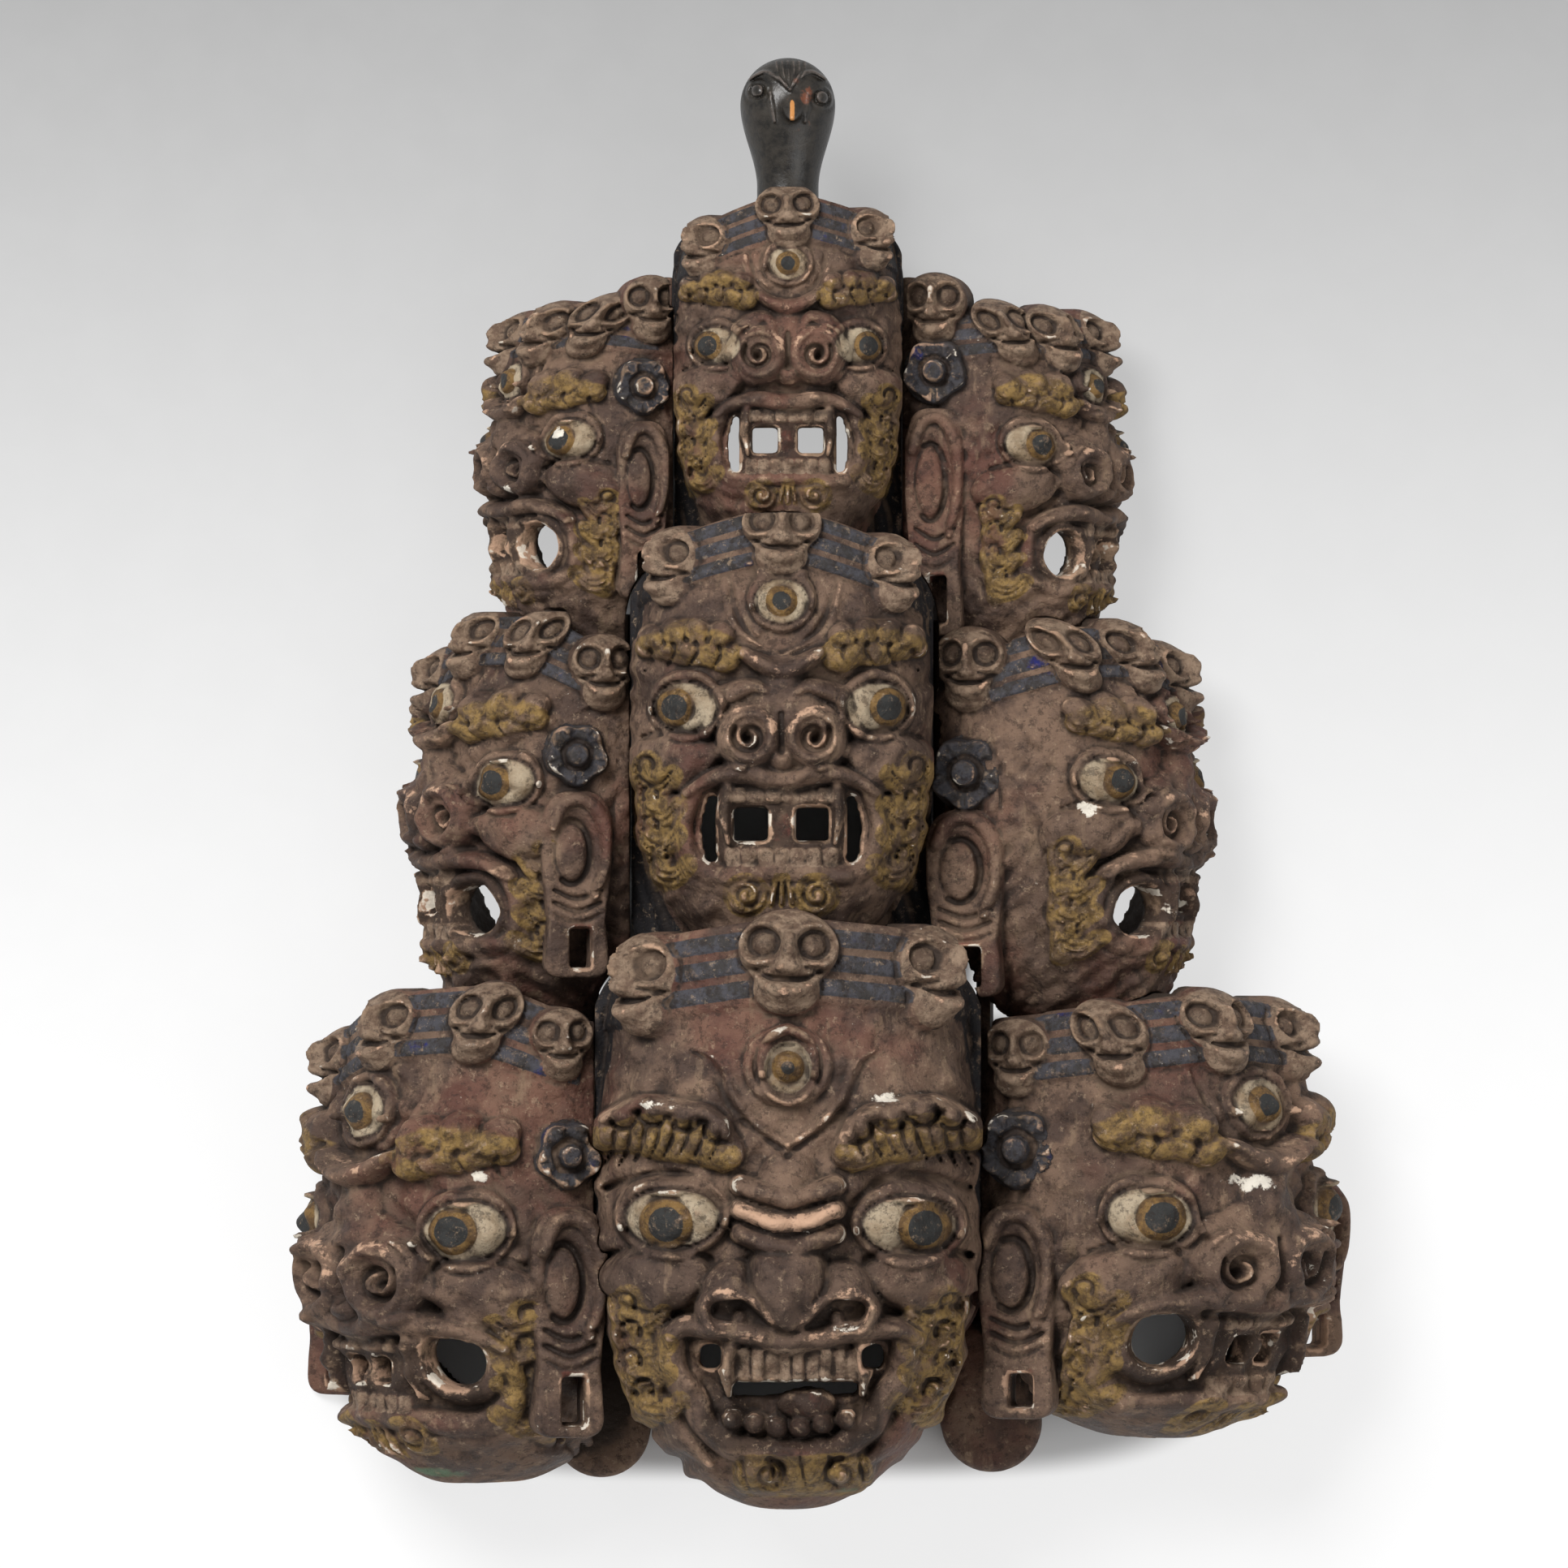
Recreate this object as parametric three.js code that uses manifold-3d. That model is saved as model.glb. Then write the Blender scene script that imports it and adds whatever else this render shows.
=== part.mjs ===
// Nine-headed dance mask of carved and painted wood, crowned by a bird's head, lying on its back rim.
// Millimetres. X runs across the mask, Y from the lowest chin to the bird, Z out of the faces.
// Each head is a block of its own, hollowed from behind. The side heads turn outwards, and are sawn
// flat where they meet the centre head of their tier.

import * as THREE from 'three';
import { mergeVertices } from 'three/addons/utils/BufferGeometryUtils.js';
import Module from 'manifold-3d';

const wasm = await Module();
wasm.setup();

// ---------------------------------------------------------------- driving dimensions

const GAP = 0.4;               // glue line between two blocks
const WALL_RATIO = 0.105;      // wall thickness of a head, as a share of its half width
const DEPTH_RATIO = 0.89;      // a head's depth in front of its axis, as a share of its half width
const FOREHEAD_NARROWING = 0.905; // width under the crown, as a share of the width at the eyes
// Facet lines run through the middles and edges of what is carved. Columns are sideways places on the
// face as shares of its half width there, and behind is how many facets close a side head's back.
const CARVED = { columns: [0, 0.18, 0.37, 0.6, 0.84, 1], behind: 3, carved: true };
const HOLLOW = { columns: [0, 0.5, 0.88, 1], behind: 4, carved: false };
const OPEN_BACK = 1.6;         // how far a side head's hollow runs out through its own back
const BEHIND = 20;             // how far a centre head's straight sides run past the back rim, to be cut
const FAR = 2000;              // size of a cutting block

// Shares of a head's half width, and of an ear's own height.
const EAR = {
  half: 0.2, thick: 0.17, foot: 0.75, shoulder: 0.8, tip: 0.5, sunk: 0.06,
  slot: { half: 0.3, low: 0.12, high: 0.3 },
  bowl: { half: 0.5, low: 0.6, high: 0.85, floor: 0.09, deep: 0.1 },
};
const ROSETTE = { corners: 10, wave: 0.1, thick: 0.22, sunk: 0.1, boss: 0.36, bossUp: 0.12 };
const SKULL = { outline: [[0.62, -1.3], [1, -0.3], [0.9, 0.6], [0.4, 1.15]], thick: 0.9, sunk: 0.08 };
const NOSTRIL = { apart: 0.95, proud: 0.06, thick: 0.3, outwards: 0.45 };
const BAND = { proud: 0.04, facets: 10, sides: 1.96 };
const LOBE = { deep: 70, sides: 0.8, tall: 1.9, step: 4, facets: 14 };

// Heights are measured from the lowest chin. halfWidth is at the eyes, axisZ is how far the head's
// upright axis stands above the back rim, and turn is its facing, in degrees, away from straight ahead.
// Feature sizes are shares of halfWidth, and feature heights are counted from the eyes.
const HEADS = {
  head_low_centre: {
    x: 0, halfWidth: 109, chin: 2, eyes: 166, crown: 282, top: 329, axisZ: 145, turn: 0, jut: 0.85,
    brow: 0.48, thirdEye: 0.83, nose: 'broad', noseUp: -0.39, noseRadius: 0.24,
    mouth: { top: -0.6, bottom: -1.12, half: 0.52 }, skulls: [-54, 0, 54], skullWidth: 0.23,
  },
  head_low_left: {
    x: -168, halfWidth: 103, chin: 11, eyes: 161, crown: 247, top: 287, axisZ: 68, turn: -52, jut: 0.7,
    brow: 0.42, thirdEye: 0.64, nose: 'curled', noseUp: -0.26, noseRadius: 0.21,
    mouth: { top: -0.68, bottom: -1.0, half: 0.5 }, skulls: [80, 44, 3, -38], skullWidth: 0.19,
    ear: { angle: 80, top: 0.13, bottom: -1.13 }, rosette: { up: 0.44, radius: 0.19 },
    outerEar: { angle: -67, top: 0.1, bottom: -0.86 }, lobe: { x: -107, y: 42, radius: 28 },
  },
  head_low_right: {
    x: 203, halfWidth: 103, chin: 37, eyes: 169, crown: 245, top: 284, axisZ: 68, turn: 44.5, jut: 0.7,
    brow: 0.42, thirdEye: 0.63, nose: 'curled', noseUp: -0.26, noseRadius: 0.21,
    mouth: { top: -0.6, bottom: -0.98, half: 0.5 }, skulls: [96, 54, 12, -30], skullWidth: 0.2,
    ear: { angle: 93, top: 0, bottom: -1.12 }, rosette: { up: 0.38, radius: 0.2 },
    outerEar: { angle: -67, top: 0.14, bottom: -0.86 }, lobe: { x: 117, y: 46, radius: 29 },
  },
  head_mid_centre: {
    x: -3.5, halfWidth: 86, chin: 333, eyes: 455, crown: 519, top: 551, axisZ: 120, turn: 0, jut: 0.45,
    brow: 0.38, thirdEye: 0.66, nose: 'curled', noseUp: -0.19, noseRadius: 0.23,
    mouth: { top: -0.52, bottom: -1.02, half: 0.52 }, skulls: [-54, 0, 54], skullWidth: 0.23,
  },
  head_mid_left: {
    x: -131, halfWidth: 82, chin: 299, eyes: 413, crown: 470, top: 498, axisZ: 45, turn: -66, jut: 0.4,
    brow: 0.42, thirdEye: 0.55, nose: 'curled', noseUp: -0.22, noseRadius: 0.23,
    mouth: { top: -0.68, bottom: -1.06, half: 0.5 }, skulls: [88, 48, 13, -24], skullWidth: 0.21,
    ear: { angle: 80, top: -0.06, bottom: -1.35 }, rosette: { up: 0.2, radius: 0.22 },
  },
  head_mid_right: {
    x: 154, halfWidth: 82, chin: 296, eyes: 414, crown: 464, top: 494, axisZ: 45, turn: 65, jut: 0.4,
    brow: 0.38, thirdEye: 0.42, nose: 'curled', noseUp: -0.28, noseRadius: 0.22,
    mouth: { top: -0.68, bottom: -1.06, half: 0.5 }, skulls: [102, 54, 18, -18], skullWidth: 0.23,
    ear: { angle: 100, top: -0.24, bottom: -1.4 }, rosette: { up: 0.08, radius: 0.25 },
  },
  head_top_centre: {
    x: 0, halfWidth: 65, chin: 556, eyes: 659, crown: 712, top: 739, axisZ: 100, turn: 0, jut: 0.45,
    brow: 0.46, thirdEye: 0.71, nose: 'curled', noseUp: -0.08, noseRadius: 0.25,
    mouth: { top: -0.56, bottom: -1.1, half: 0.5 }, skulls: [-54, 0, 54], skullWidth: 0.25,
  },
  head_top_left: {
    x: -102.5, halfWidth: 70, chin: 500, eyes: 608, crown: 652, top: 682, axisZ: 38, turn: -63, jut: 0.4,
    brow: 0.36, thirdEye: 0.5, nose: 'curled', noseUp: -0.2, noseRadius: 0.22,
    mouth: { top: -0.66, bottom: -1.08, half: 0.5 }, skulls: [90, 49, 17, -22], skullWidth: 0.24,
    ear: { angle: 86, top: 0.15, bottom: -1.3 }, rosette: { up: 0.4, radius: 0.24 },
  },
  head_top_right: {
    x: 120.5, halfWidth: 70, chin: 500, eyes: 605, crown: 652, top: 682, axisZ: 38, turn: 60, jut: 0.4,
    brow: 0.38, thirdEye: 0.5, nose: 'curled', noseUp: -0.2, noseRadius: 0.22,
    mouth: { top: -0.68, bottom: -1.1, half: 0.5 }, skulls: [94, 50, 21, -20], skullWidth: 0.25,
    ear: { angle: 90, top: 0.3, bottom: -1.45 }, rosette: { up: 0.6, radius: 0.26 },
  },
};

const BIRD = {
  x: 0, z: 104, base: 739, neckRadius: 17.5, headRadius: 27, top: 825, facets: 10, rows: 7,
  beak: { long: 22, radius: 9.2, droop: 0.5, below: 6.8, out: 2.2, facets: 6 },
  eye: { side: 19.4, up: 4, out: 17.8, radius: 6, proud: 3.5 },
};

// ---------------------------------------------------------------- materials

const wood = new THREE.MeshStandardMaterial({ color: 0x6f574a, roughness: 0.75, metalness: 0 });
const blackened = new THREE.MeshStandardMaterial({ color: 0x24211f, roughness: 0.5, metalness: 0 });

// ---------------------------------------------------------------- solids

function toSolid(geometry, matrix) {
  const bare = geometry.clone();
  bare.deleteAttribute('normal');
  bare.deleteAttribute('uv');
  if (matrix) bare.applyMatrix4(matrix);
  const merged = mergeVertices(bare, 1e-4);
  return new wasm.Manifold(new wasm.Mesh({
    numProp: 3,
    vertProperties: new Float32Array(merged.attributes.position.array),
    triVerts: Uint32Array.from(merged.index.array),
  }));
}

function toGeometry(solid) {
  const mesh = solid.getMesh();
  const geometry = new THREE.BufferGeometry();
  geometry.setAttribute('position', new THREE.BufferAttribute(new Float32Array(mesh.vertProperties), 3));
  geometry.setIndex(new THREE.BufferAttribute(new Uint32Array(mesh.triVerts), 1));
  geometry.computeVertexNormals();
  return geometry;
}

const joined = (solids) => solids.reduce((whole, solid) => whole.add(solid));

// A matrix that sets a shape down at a point, its own +Z along outward and its +Y kept upright.
function standing(point, outward, scale = new THREE.Vector3(1, 1, 1)) {
  const out = outward.clone().normalize();
  const side = new THREE.Vector3(0, 1, 0).cross(out).normalize();
  const up = out.clone().cross(side);
  return new THREE.Matrix4().makeBasis(side, up, out).scale(scale).setPosition(point);
}

function ball(point, outward, radii, columns, rows) {
  return toSolid(new THREE.SphereGeometry(1, columns, rows), standing(point, outward, radii));
}

function disc(point, outward, radius, thickness, columns) {
  const flat = new THREE.CylinderGeometry(radius * 0.85, radius, thickness, columns).rotateX(Math.PI / 2);
  return toSolid(flat, standing(point, outward));
}

function block(size, matrix) {
  return toSolid(new THREE.BoxGeometry(...size), matrix);
}

// ---------------------------------------------------------------- the egg that every head is carved from

function eggSize(head, grow = 0) {
  const reach = head.crown - head.eyes;
  return {
    across: head.halfWidth + grow,
    front: head.halfWidth * DEPTH_RATIO + grow,
    below: head.eyes - head.chin + grow,
    above: reach / Math.sqrt(1 - FOREHEAD_NARROWING ** 2) + grow,
    top: head.top - head.eyes + grow,
  };
}

// The front of the face falls back towards the chin more slowly than the sides close in.
function eggRow(head, size, up) {
  const share = up < 0 ? up / size.below : up / size.above;
  const close = Math.sqrt(Math.max(0, 1 - share * share));
  return { across: size.across * close, front: size.front * (up < 0 ? close ** head.jut : close) };
}

// Everything raised on a face, as rounded lumps: [sideways, up, half width, half height, how proud].
function lumps(head) {
  const { top, bottom } = head.mouth;
  const broad = head.nose === 'broad';
  return [
    [0.6, head.brow, 0.4, 0.17, 0.16],          // brow
    [0.6, 0, 0.28, 0.2, 0.13],                   // eyeball in its lids
    [0.66, -0.36, 0.32, 0.18, 0.16],              // bag of the cheek
    [0.8, -0.9, 0.16, 0.34, 0.07],               // flame of beard along the jaw
    [0.2, bottom - 0.2, 0.24, 0.15, 0.1],        // curl of beard on the chin
    [0, head.thirdEye, 0.2, 0.2, 0.07],
    [0, head.noseUp + 0.33, 0.24, 0.18, 0.14],   // knot at the root of the nose
    [0, head.noseUp + 0.08, 0.22, 0.34, 0.16],   // bridge
    [broad ? 0.2 : 0.12, head.noseUp - 0.02, 0.3, 0.24, broad ? 0.2 : 0.08],
    [0.15, top + 0.08, 0.42, 0.12, 0.1],         // upper lip
    [0.15, bottom - 0.04, 0.36, 0.1, 0.08],      // lower lip
  ];
}

function relief(head, side, up) {
  let proud = 0;
  for (const [x, y, wide, high, height] of lumps(head)) {
    const near = 1 - ((Math.abs(side) - x) / wide) ** 2 - ((up - y) / high) ** 2;
    if (near > 0) proud = Math.max(proud, height * Math.sqrt(near));
  }
  return proud * head.halfWidth;
}

// Heights of the facet rows, counted from the eyes, from the chin up to the crown.
function rowHeights(head, size, facets) {
  const w = head.halfWidth;
  if (!facets.carved) return [-0.94, -0.75, -0.4, 0].map((share) => share * size.below).concat(size.top);
  const { top, bottom } = head.mouth;
  const lowest = -size.below / w;
  const rows = [lowest * 0.95, bottom - 0.18, bottom - 0.02, (top + bottom) / 2, top + 0.06,
    Math.min(head.noseUp - 0.05, -0.3), -0.14, 0, 0.15, head.brow, head.brow + 0.16];
  return rows.map((up) => up * w).concat(head.crown - head.eyes + 4);
}

// Rings of points from the chin to the crown. A centre head's sides run straight back from its axis.
function egg(head, grow, facets) {
  const size = eggSize(head, grow);
  const centred = head.turn === 0;
  const back = -head.axisZ - BEHIND;
  const ups = rowHeights(head, size, facets);
  const highest = ups[ups.length - 1];
  const toLeft = facets.columns.map((share) => Math.acos(share));
  const angles = [...toLeft].reverse().concat(toLeft.slice(1).map((angle) => Math.PI - angle));
  if (!centred) for (let i = 1; i < facets.behind; i += 1) angles.push((1 + i / facets.behind) * Math.PI);
  const columns = angles.length + (centred ? 2 : 0);
  const points = [[0, -size.below, centred ? back : 0]];
  for (const up of ups) {
    const row = eggRow(head, size, up);
    for (const angle of angles) {
      const x = row.across * Math.cos(angle);
      const behind = facets.carved ? row.across : row.across * OPEN_BACK;
      const z = (Math.sin(angle) > 0 ? row.front : behind) * Math.sin(angle);
      const facing = Math.sin(angle) > 0.05 && facets.carved;
      const proud = facing ? relief(head, x / head.halfWidth, up / head.halfWidth) : 0;
      points.push([x + proud * Math.cos(angle) * 0.5, up, z + proud * Math.sin(angle)]);
    }
    if (centred) points.push([-row.across, up, back], [row.across, up, back]);
  }
  points.push([0, highest, 0]);
  const faces = [];
  const at = (r, c) => 1 + r * columns + (c % columns);
  for (let c = 0; c < columns; c += 1) {
    faces.push(0, at(0, c), at(0, c + 1));
    for (let r = 0; r < ups.length - 1; r += 1) {
      faces.push(at(r, c), at(r + 1, c), at(r, c + 1), at(r, c + 1), at(r + 1, c), at(r + 1, c + 1));
    }
    faces.push(at(ups.length - 1, c), points.length - 1, at(ups.length - 1, c + 1));
  }
  const geometry = new THREE.BufferGeometry();
  geometry.setAttribute('position', new THREE.Float32BufferAttribute(points.flat(), 3));
  geometry.setIndex(faces);
  return toSolid(geometry);
}

// A point on the head at an angle round its axis, 0 straight ahead.
function roundHead(head, degrees, up, grow = 0) {
  const row = eggRow(head, eggSize(head, grow), up * head.halfWidth);
  const angle = THREE.MathUtils.degToRad(degrees);
  const depth = Math.cos(angle) > 0 ? row.front : row.across;
  const outward = new THREE.Vector3(Math.sin(angle), 0, Math.cos(angle));
  return { point: new THREE.Vector3(row.across * outward.x, up * head.halfWidth, depth * outward.z), outward };
}

// ---------------------------------------------------------------- carving

// The two coiled nostrils stand out from the face like rolled ends.
function nostrils(head) {
  const w = head.halfWidth;
  const size = eggSize(head);
  const row = eggRow(head, size, head.noseUp * w);
  const radius = head.noseRadius * w;
  return [-1, 1].map((side) => {
    const point = new THREE.Vector3(side * radius * NOSTRIL.apart, head.noseUp * w, row.front + w * NOSTRIL.proud);
    return disc(point, new THREE.Vector3(side * NOSTRIL.outwards, 0, 1), radius, w * NOSTRIL.thick, 7);
  });
}

// A prism with flat sides, standing on the face and cutting through its wall.
function throughWall(head, corners, side, up, wide, high) {
  const w = head.halfWidth;
  const outline = new THREE.Shape();
  for (let i = 0; i < corners; i += 1) {
    const angle = ((i + 0.5) / corners) * 2 * Math.PI;
    const reach = 1 / Math.cos(Math.PI / corners);
    const corner = [Math.cos(angle) * reach * wide * w, Math.sin(angle) * reach * high * w];
    if (i === 0) outline.moveTo(...corner);
    else outline.lineTo(...corner);
  }
  outline.closePath();
  const prism = new THREE.ExtrudeGeometry(outline, { depth: w * 0.9, bevelEnabled: false });
  const start = new THREE.Vector3(side * w * 0.9, up * w, w * 0.35);
  return toSolid(prism, standing(start, new THREE.Vector3(side * 0.35, 0, 1)));
}

// Gaps between the teeth and beside the fangs are open to the back.
function mouthHoles(head) {
  const { top, bottom, half } = head.mouth;
  const middle = (top + bottom) / 2;
  const high = (top - bottom) / 2;
  if (head.nose === 'broad') return throughWall(head, 8, 0, middle, half * 0.9, high * 0.55);
  return joined([-1, 1].flatMap((side) => [
    throughWall(head, 4, side * 0.14, middle, 0.075, high * 0.42),
    throughWall(head, 4, side * 0.42, middle, 0.1, high * 0.85),
  ]));
}

// A skull of the crown: a domed head over a narrower jaw.
function skull(head, degrees, grow = 0) {
  const w = head.halfWidth;
  const wide = head.skullWidth * w + grow;
  const middle = (head.crown + head.top) / 2 - head.eyes;
  const { point, outward } = roundHead(head, degrees, middle / w, -w * SKULL.sunk - grow);
  const outline = new THREE.Shape();
  const mirrored = SKULL.outline.map(([x, y]) => [-x, y]).reverse();
  [...SKULL.outline, ...mirrored].forEach(([x, y], i) => {
    if (i === 0) outline.moveTo(x * wide, y * wide);
    else outline.lineTo(x * wide, y * wide);
  });
  outline.closePath();
  const bone = new THREE.ExtrudeGeometry(outline, { depth: wide * SKULL.thick + 2 * grow, bevelEnabled: false });
  return toSolid(bone, standing(point, outward));
}

// The crown's band stands straight up round the forehead, and closes the head with a flat top.
function crown(head, grow = 0) {
  const low = head.crown - head.eyes - grow;
  const high = head.top - head.eyes + grow;
  const row = eggRow(head, eggSize(head, head.halfWidth * BAND.proud + grow), low);
  const drum = new THREE.CylinderGeometry(1, 1, high - low, BAND.facets);
  const band = toSolid(drum.scale(row.across, 1, row.front).translate(0, (low + high) / 2, 0));
  if (head.turn !== 0) return band;
  const behind = head.axisZ + BEHIND;
  return band.add(block([row.across * BAND.sides, high - low, behind],
    new THREE.Matrix4().makeTranslation(0, (low + high) / 2, -behind / 2)));
}

// A long ear: a rounded plate with a raised rim round its bowl, and a slot through the hanging lobe.
function earPlate(head, ear) {
  const w = head.halfWidth;
  const tall = (ear.top - ear.bottom) * w;
  const half = w * EAR.half;
  const box = (hole) => [[-hole.half, hole.low], [-hole.half, hole.high], [hole.half, hole.high], [hole.half, hole.low]];
  const trace = (path, corners) => {
    corners.forEach(([x, y], i) => path[i ? 'lineTo' : 'moveTo'](x * half, y * tall));
    path.closePath();
    return path;
  };
  const outline = trace(new THREE.Shape(), [[-EAR.foot, 0], [EAR.foot, 0], [1, EAR.shoulder], [EAR.tip, 1],
    [-EAR.tip, 1], [-1, EAR.shoulder]]);
  outline.holes.push(trace(new THREE.Path(), box(EAR.slot)));
  const plate = new THREE.ExtrudeGeometry(outline, { depth: w * EAR.thick, bevelEnabled: false });
  const bowl = trace(new THREE.Shape(), [...box(EAR.bowl)].reverse());
  const hollow = new THREE.ExtrudeGeometry(bowl, { depth: w * EAR.bowl.deep, bevelEnabled: false });
  const { point, outward } = roundHead(head, ear.angle, 0);
  const foot = point.clone().addScaledVector(outward, ear.out * w);
  foot.y = ear.bottom * w;
  const bowlFoot = foot.clone().addScaledVector(outward, w * EAR.bowl.floor);
  return toSolid(plate, standing(foot, outward)).subtract(toSolid(hollow, standing(bowlFoot, outward)));
}

function rosette(head, degrees) {
  const w = head.halfWidth;
  const radius = head.rosette.radius * w;
  const petals = new THREE.Shape();
  for (let i = 0; i < ROSETTE.corners; i += 1) {
    const angle = (i / ROSETTE.corners) * 2 * Math.PI;
    const reach = radius * (1 - ROSETTE.wave + ROSETTE.wave * Math.cos(5 * angle));
    const corner = [reach * Math.sin(angle), reach * Math.cos(angle)];
    if (i === 0) petals.moveTo(...corner);
    else petals.lineTo(...corner);
  }
  petals.closePath();
  const plate = new THREE.ExtrudeGeometry(petals, { depth: w * ROSETTE.thick, bevelEnabled: false });
  const { point, outward } = roundHead(head, degrees, head.rosette.up);
  const seat = point.clone().addScaledVector(outward, -w * ROSETTE.sunk);
  const up = w * ROSETTE.bossUp;
  const boss = disc(point.clone().addScaledVector(outward, up), outward, radius * ROSETTE.boss, up, 5);
  return toSolid(plate, standing(seat, outward)).add(boss);
}

// ---------------------------------------------------------------- one head

// The side of a turned head, in its own frame, that faces the middle of the mask.
const innerSide = (head) => (head.turn < 0 ? 1 : -1);

function placement(head) {
  const holder = new THREE.Group();
  holder.position.set(head.x, head.eyes, head.axisZ);
  holder.rotation.y = THREE.MathUtils.degToRad(head.turn);
  holder.updateMatrix();
  return holder;
}

// The room that a head and its crown take up, which the blocks above it are cut away to clear.
function room(head) {
  const inner = innerSide(head);
  const bones = head.skulls.map((degrees) => skull(head, inner * degrees, 2 * GAP));
  const whole = joined([egg(head, 2 * GAP, CARVED), crown(head, 2 * GAP), ...bones]);
  return whole.transform(placement(head).matrix.elements);
}

// A block that takes away everything on one side of a plane square to a main axis.
function beyond(axis, from, sign) {
  const centre = new THREE.Vector3();
  centre.setComponent(axis, from + sign * FAR / 2);
  return new THREE.BoxGeometry(FAR, FAR, FAR).translate(centre.x, centre.y, centre.z);
}

function carveHead(head, holder, centre, below) {
  const toLocal = holder.matrix.clone().invert();
  const wall = head.halfWidth * WALL_RATIO;
  const inner = innerSide(head);
  let solid = joined([egg(head, 0, CARVED), crown(head), ...head.skulls.map((a) => skull(head, inner * a))]);
  if (head.nose === 'curled') solid = joined([solid, ...nostrils(head)]);
  if (head.ear) {
    solid = solid.add(earPlate(head, { ...head.ear, angle: inner * head.ear.angle, out: -EAR.sunk }));
    solid = solid.add(rosette(head, inner * head.ear.angle));
  }
  if (head.outerEar) {
    solid = solid.add(earPlate(head, { ...head.outerEar, angle: inner * head.outerEar.angle, out: 0 }));
  }
  solid = solid.subtract(egg(head, -wall, HOLLOW)).subtract(mouthHoles(head));
  solid = solid.subtract(toSolid(beyond(2, 0, -1), toLocal));
  if (centre) {
    const face = centre.x - inner * (centre.halfWidth + GAP);
    solid = solid.subtract(toSolid(beyond(0, face, inner), toLocal));
  } else {
    for (const side of [-1, 1]) {
      solid = solid.subtract(toSolid(beyond(0, head.x + side * head.halfWidth, side), toLocal));
    }
  }
  for (const lower of below) solid = solid.subtract(room(lower).transform(toLocal.elements));
  if (head.lobe) solid = solid.add(earLobe(head, centre, toLocal, inner));
  return solid;
}

// The thick rounded plank under a low side ear, which fills the corner beside the centre head's jaw.
function earLobe(head, centre, toLocal, inner) {
  const { x, y, radius } = head.lobe;
  const { deep, sides, tall, step, facets } = LOBE;
  const round = new THREE.CylinderGeometry(radius, radius, deep, facets).rotateX(Math.PI / 2);
  const upright = new THREE.BoxGeometry(2 * radius * sides, radius * tall, deep - 2 * step);
  const plank = joined([toSolid(round.translate(x, y, deep / 2)),
    toSolid(upright.translate(x, y + radius, deep / 2 - step))]);
  const jaw = egg(centre, GAP, CARVED).transform(placement(centre).matrix.elements);
  return plank.subtract(jaw).transform(toLocal.elements);
}

// ---------------------------------------------------------------- the bird's head on its neck

function birdHead() {
  const { neckRadius, headRadius, base, top, beak, eye, facets, rows } = BIRD;
  const height = top - base;
  const middle = height - headRadius;
  const profile = [new THREE.Vector2(0, 0)];
  for (let i = 0; i < rows; i += 1) {
    const y = (i / rows) * height;
    const onBall = Math.sqrt(Math.max(0, 1 - ((y - middle) / headRadius) ** 2)) * headRadius;
    const neck = neckRadius + (headRadius - neckRadius) * THREE.MathUtils.smoothstep(y, height * 0.2, middle);
    profile.push(new THREE.Vector2(y < middle ? neck : onBall, y));
  }
  profile.push(new THREE.Vector2(0, height));
  const stem = toSolid(new THREE.LatheGeometry(profile, facets));
  const bill = new THREE.ConeGeometry(beak.radius, beak.long, beak.facets).rotateX(Math.PI / 2 + beak.droop);
  bill.translate(0, middle - beak.below, headRadius + beak.out);
  const eyes = [-1, 1].map((side) => ball(
    new THREE.Vector3(side * eye.side, middle + eye.up, eye.out),
    new THREE.Vector3(side, 0, 0.9), new THREE.Vector3(eye.radius, eye.radius, eye.proud), 6, 3));
  return joined([stem, toSolid(bill), ...eyes]);
}

// ---------------------------------------------------------------- assembly

const mask = new THREE.Group();

const TIERS = ['low', 'mid', 'top'];
const tierOf = (name) => TIERS.indexOf(name.split('_')[1]);

for (const [name, head] of Object.entries(HEADS)) {
  const holder = placement(head);
  const centre = head.turn === 0 ? null : HEADS[`head_${TIERS[tierOf(name)]}_centre`];
  const below = Object.keys(HEADS).filter((other) => tierOf(other) === tierOf(name) - 1);
  const carved = carveHead(head, holder, centre, below.map((other) => HEADS[other]));
  const mesh = new THREE.Mesh(toGeometry(carved), wood.clone());
  mesh.name = name;
  holder.add(mesh);
  mask.add(holder);
}

const bird = new THREE.Mesh(toGeometry(birdHead()), blackened);
bird.name = 'bird_finial';
bird.position.set(BIRD.x, BIRD.base + GAP, BIRD.z);
mask.add(bird);

// The origin is the middle of the whole mask's outline, on the surface that its back rim lies on.
mask.updateMatrixWorld(true);
const extent = new THREE.Box3().setFromObject(mask, true);
const middle = extent.getCenter(new THREE.Vector3());
mask.position.set(-middle.x, -middle.y, -extent.min.z);

export default mask;
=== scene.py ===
# %% [markdown]
# # A nine-headed dance mask
# Nine fierce three-eyed heads stand in three tiers, and a bird's head crowns them. Each head is one
# hollow block of carved wood, painted long ago and worn since. This lesson carves and paints the heads
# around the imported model, which gives every block its place and size. Everything is in metres.

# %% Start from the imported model
import math

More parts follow.
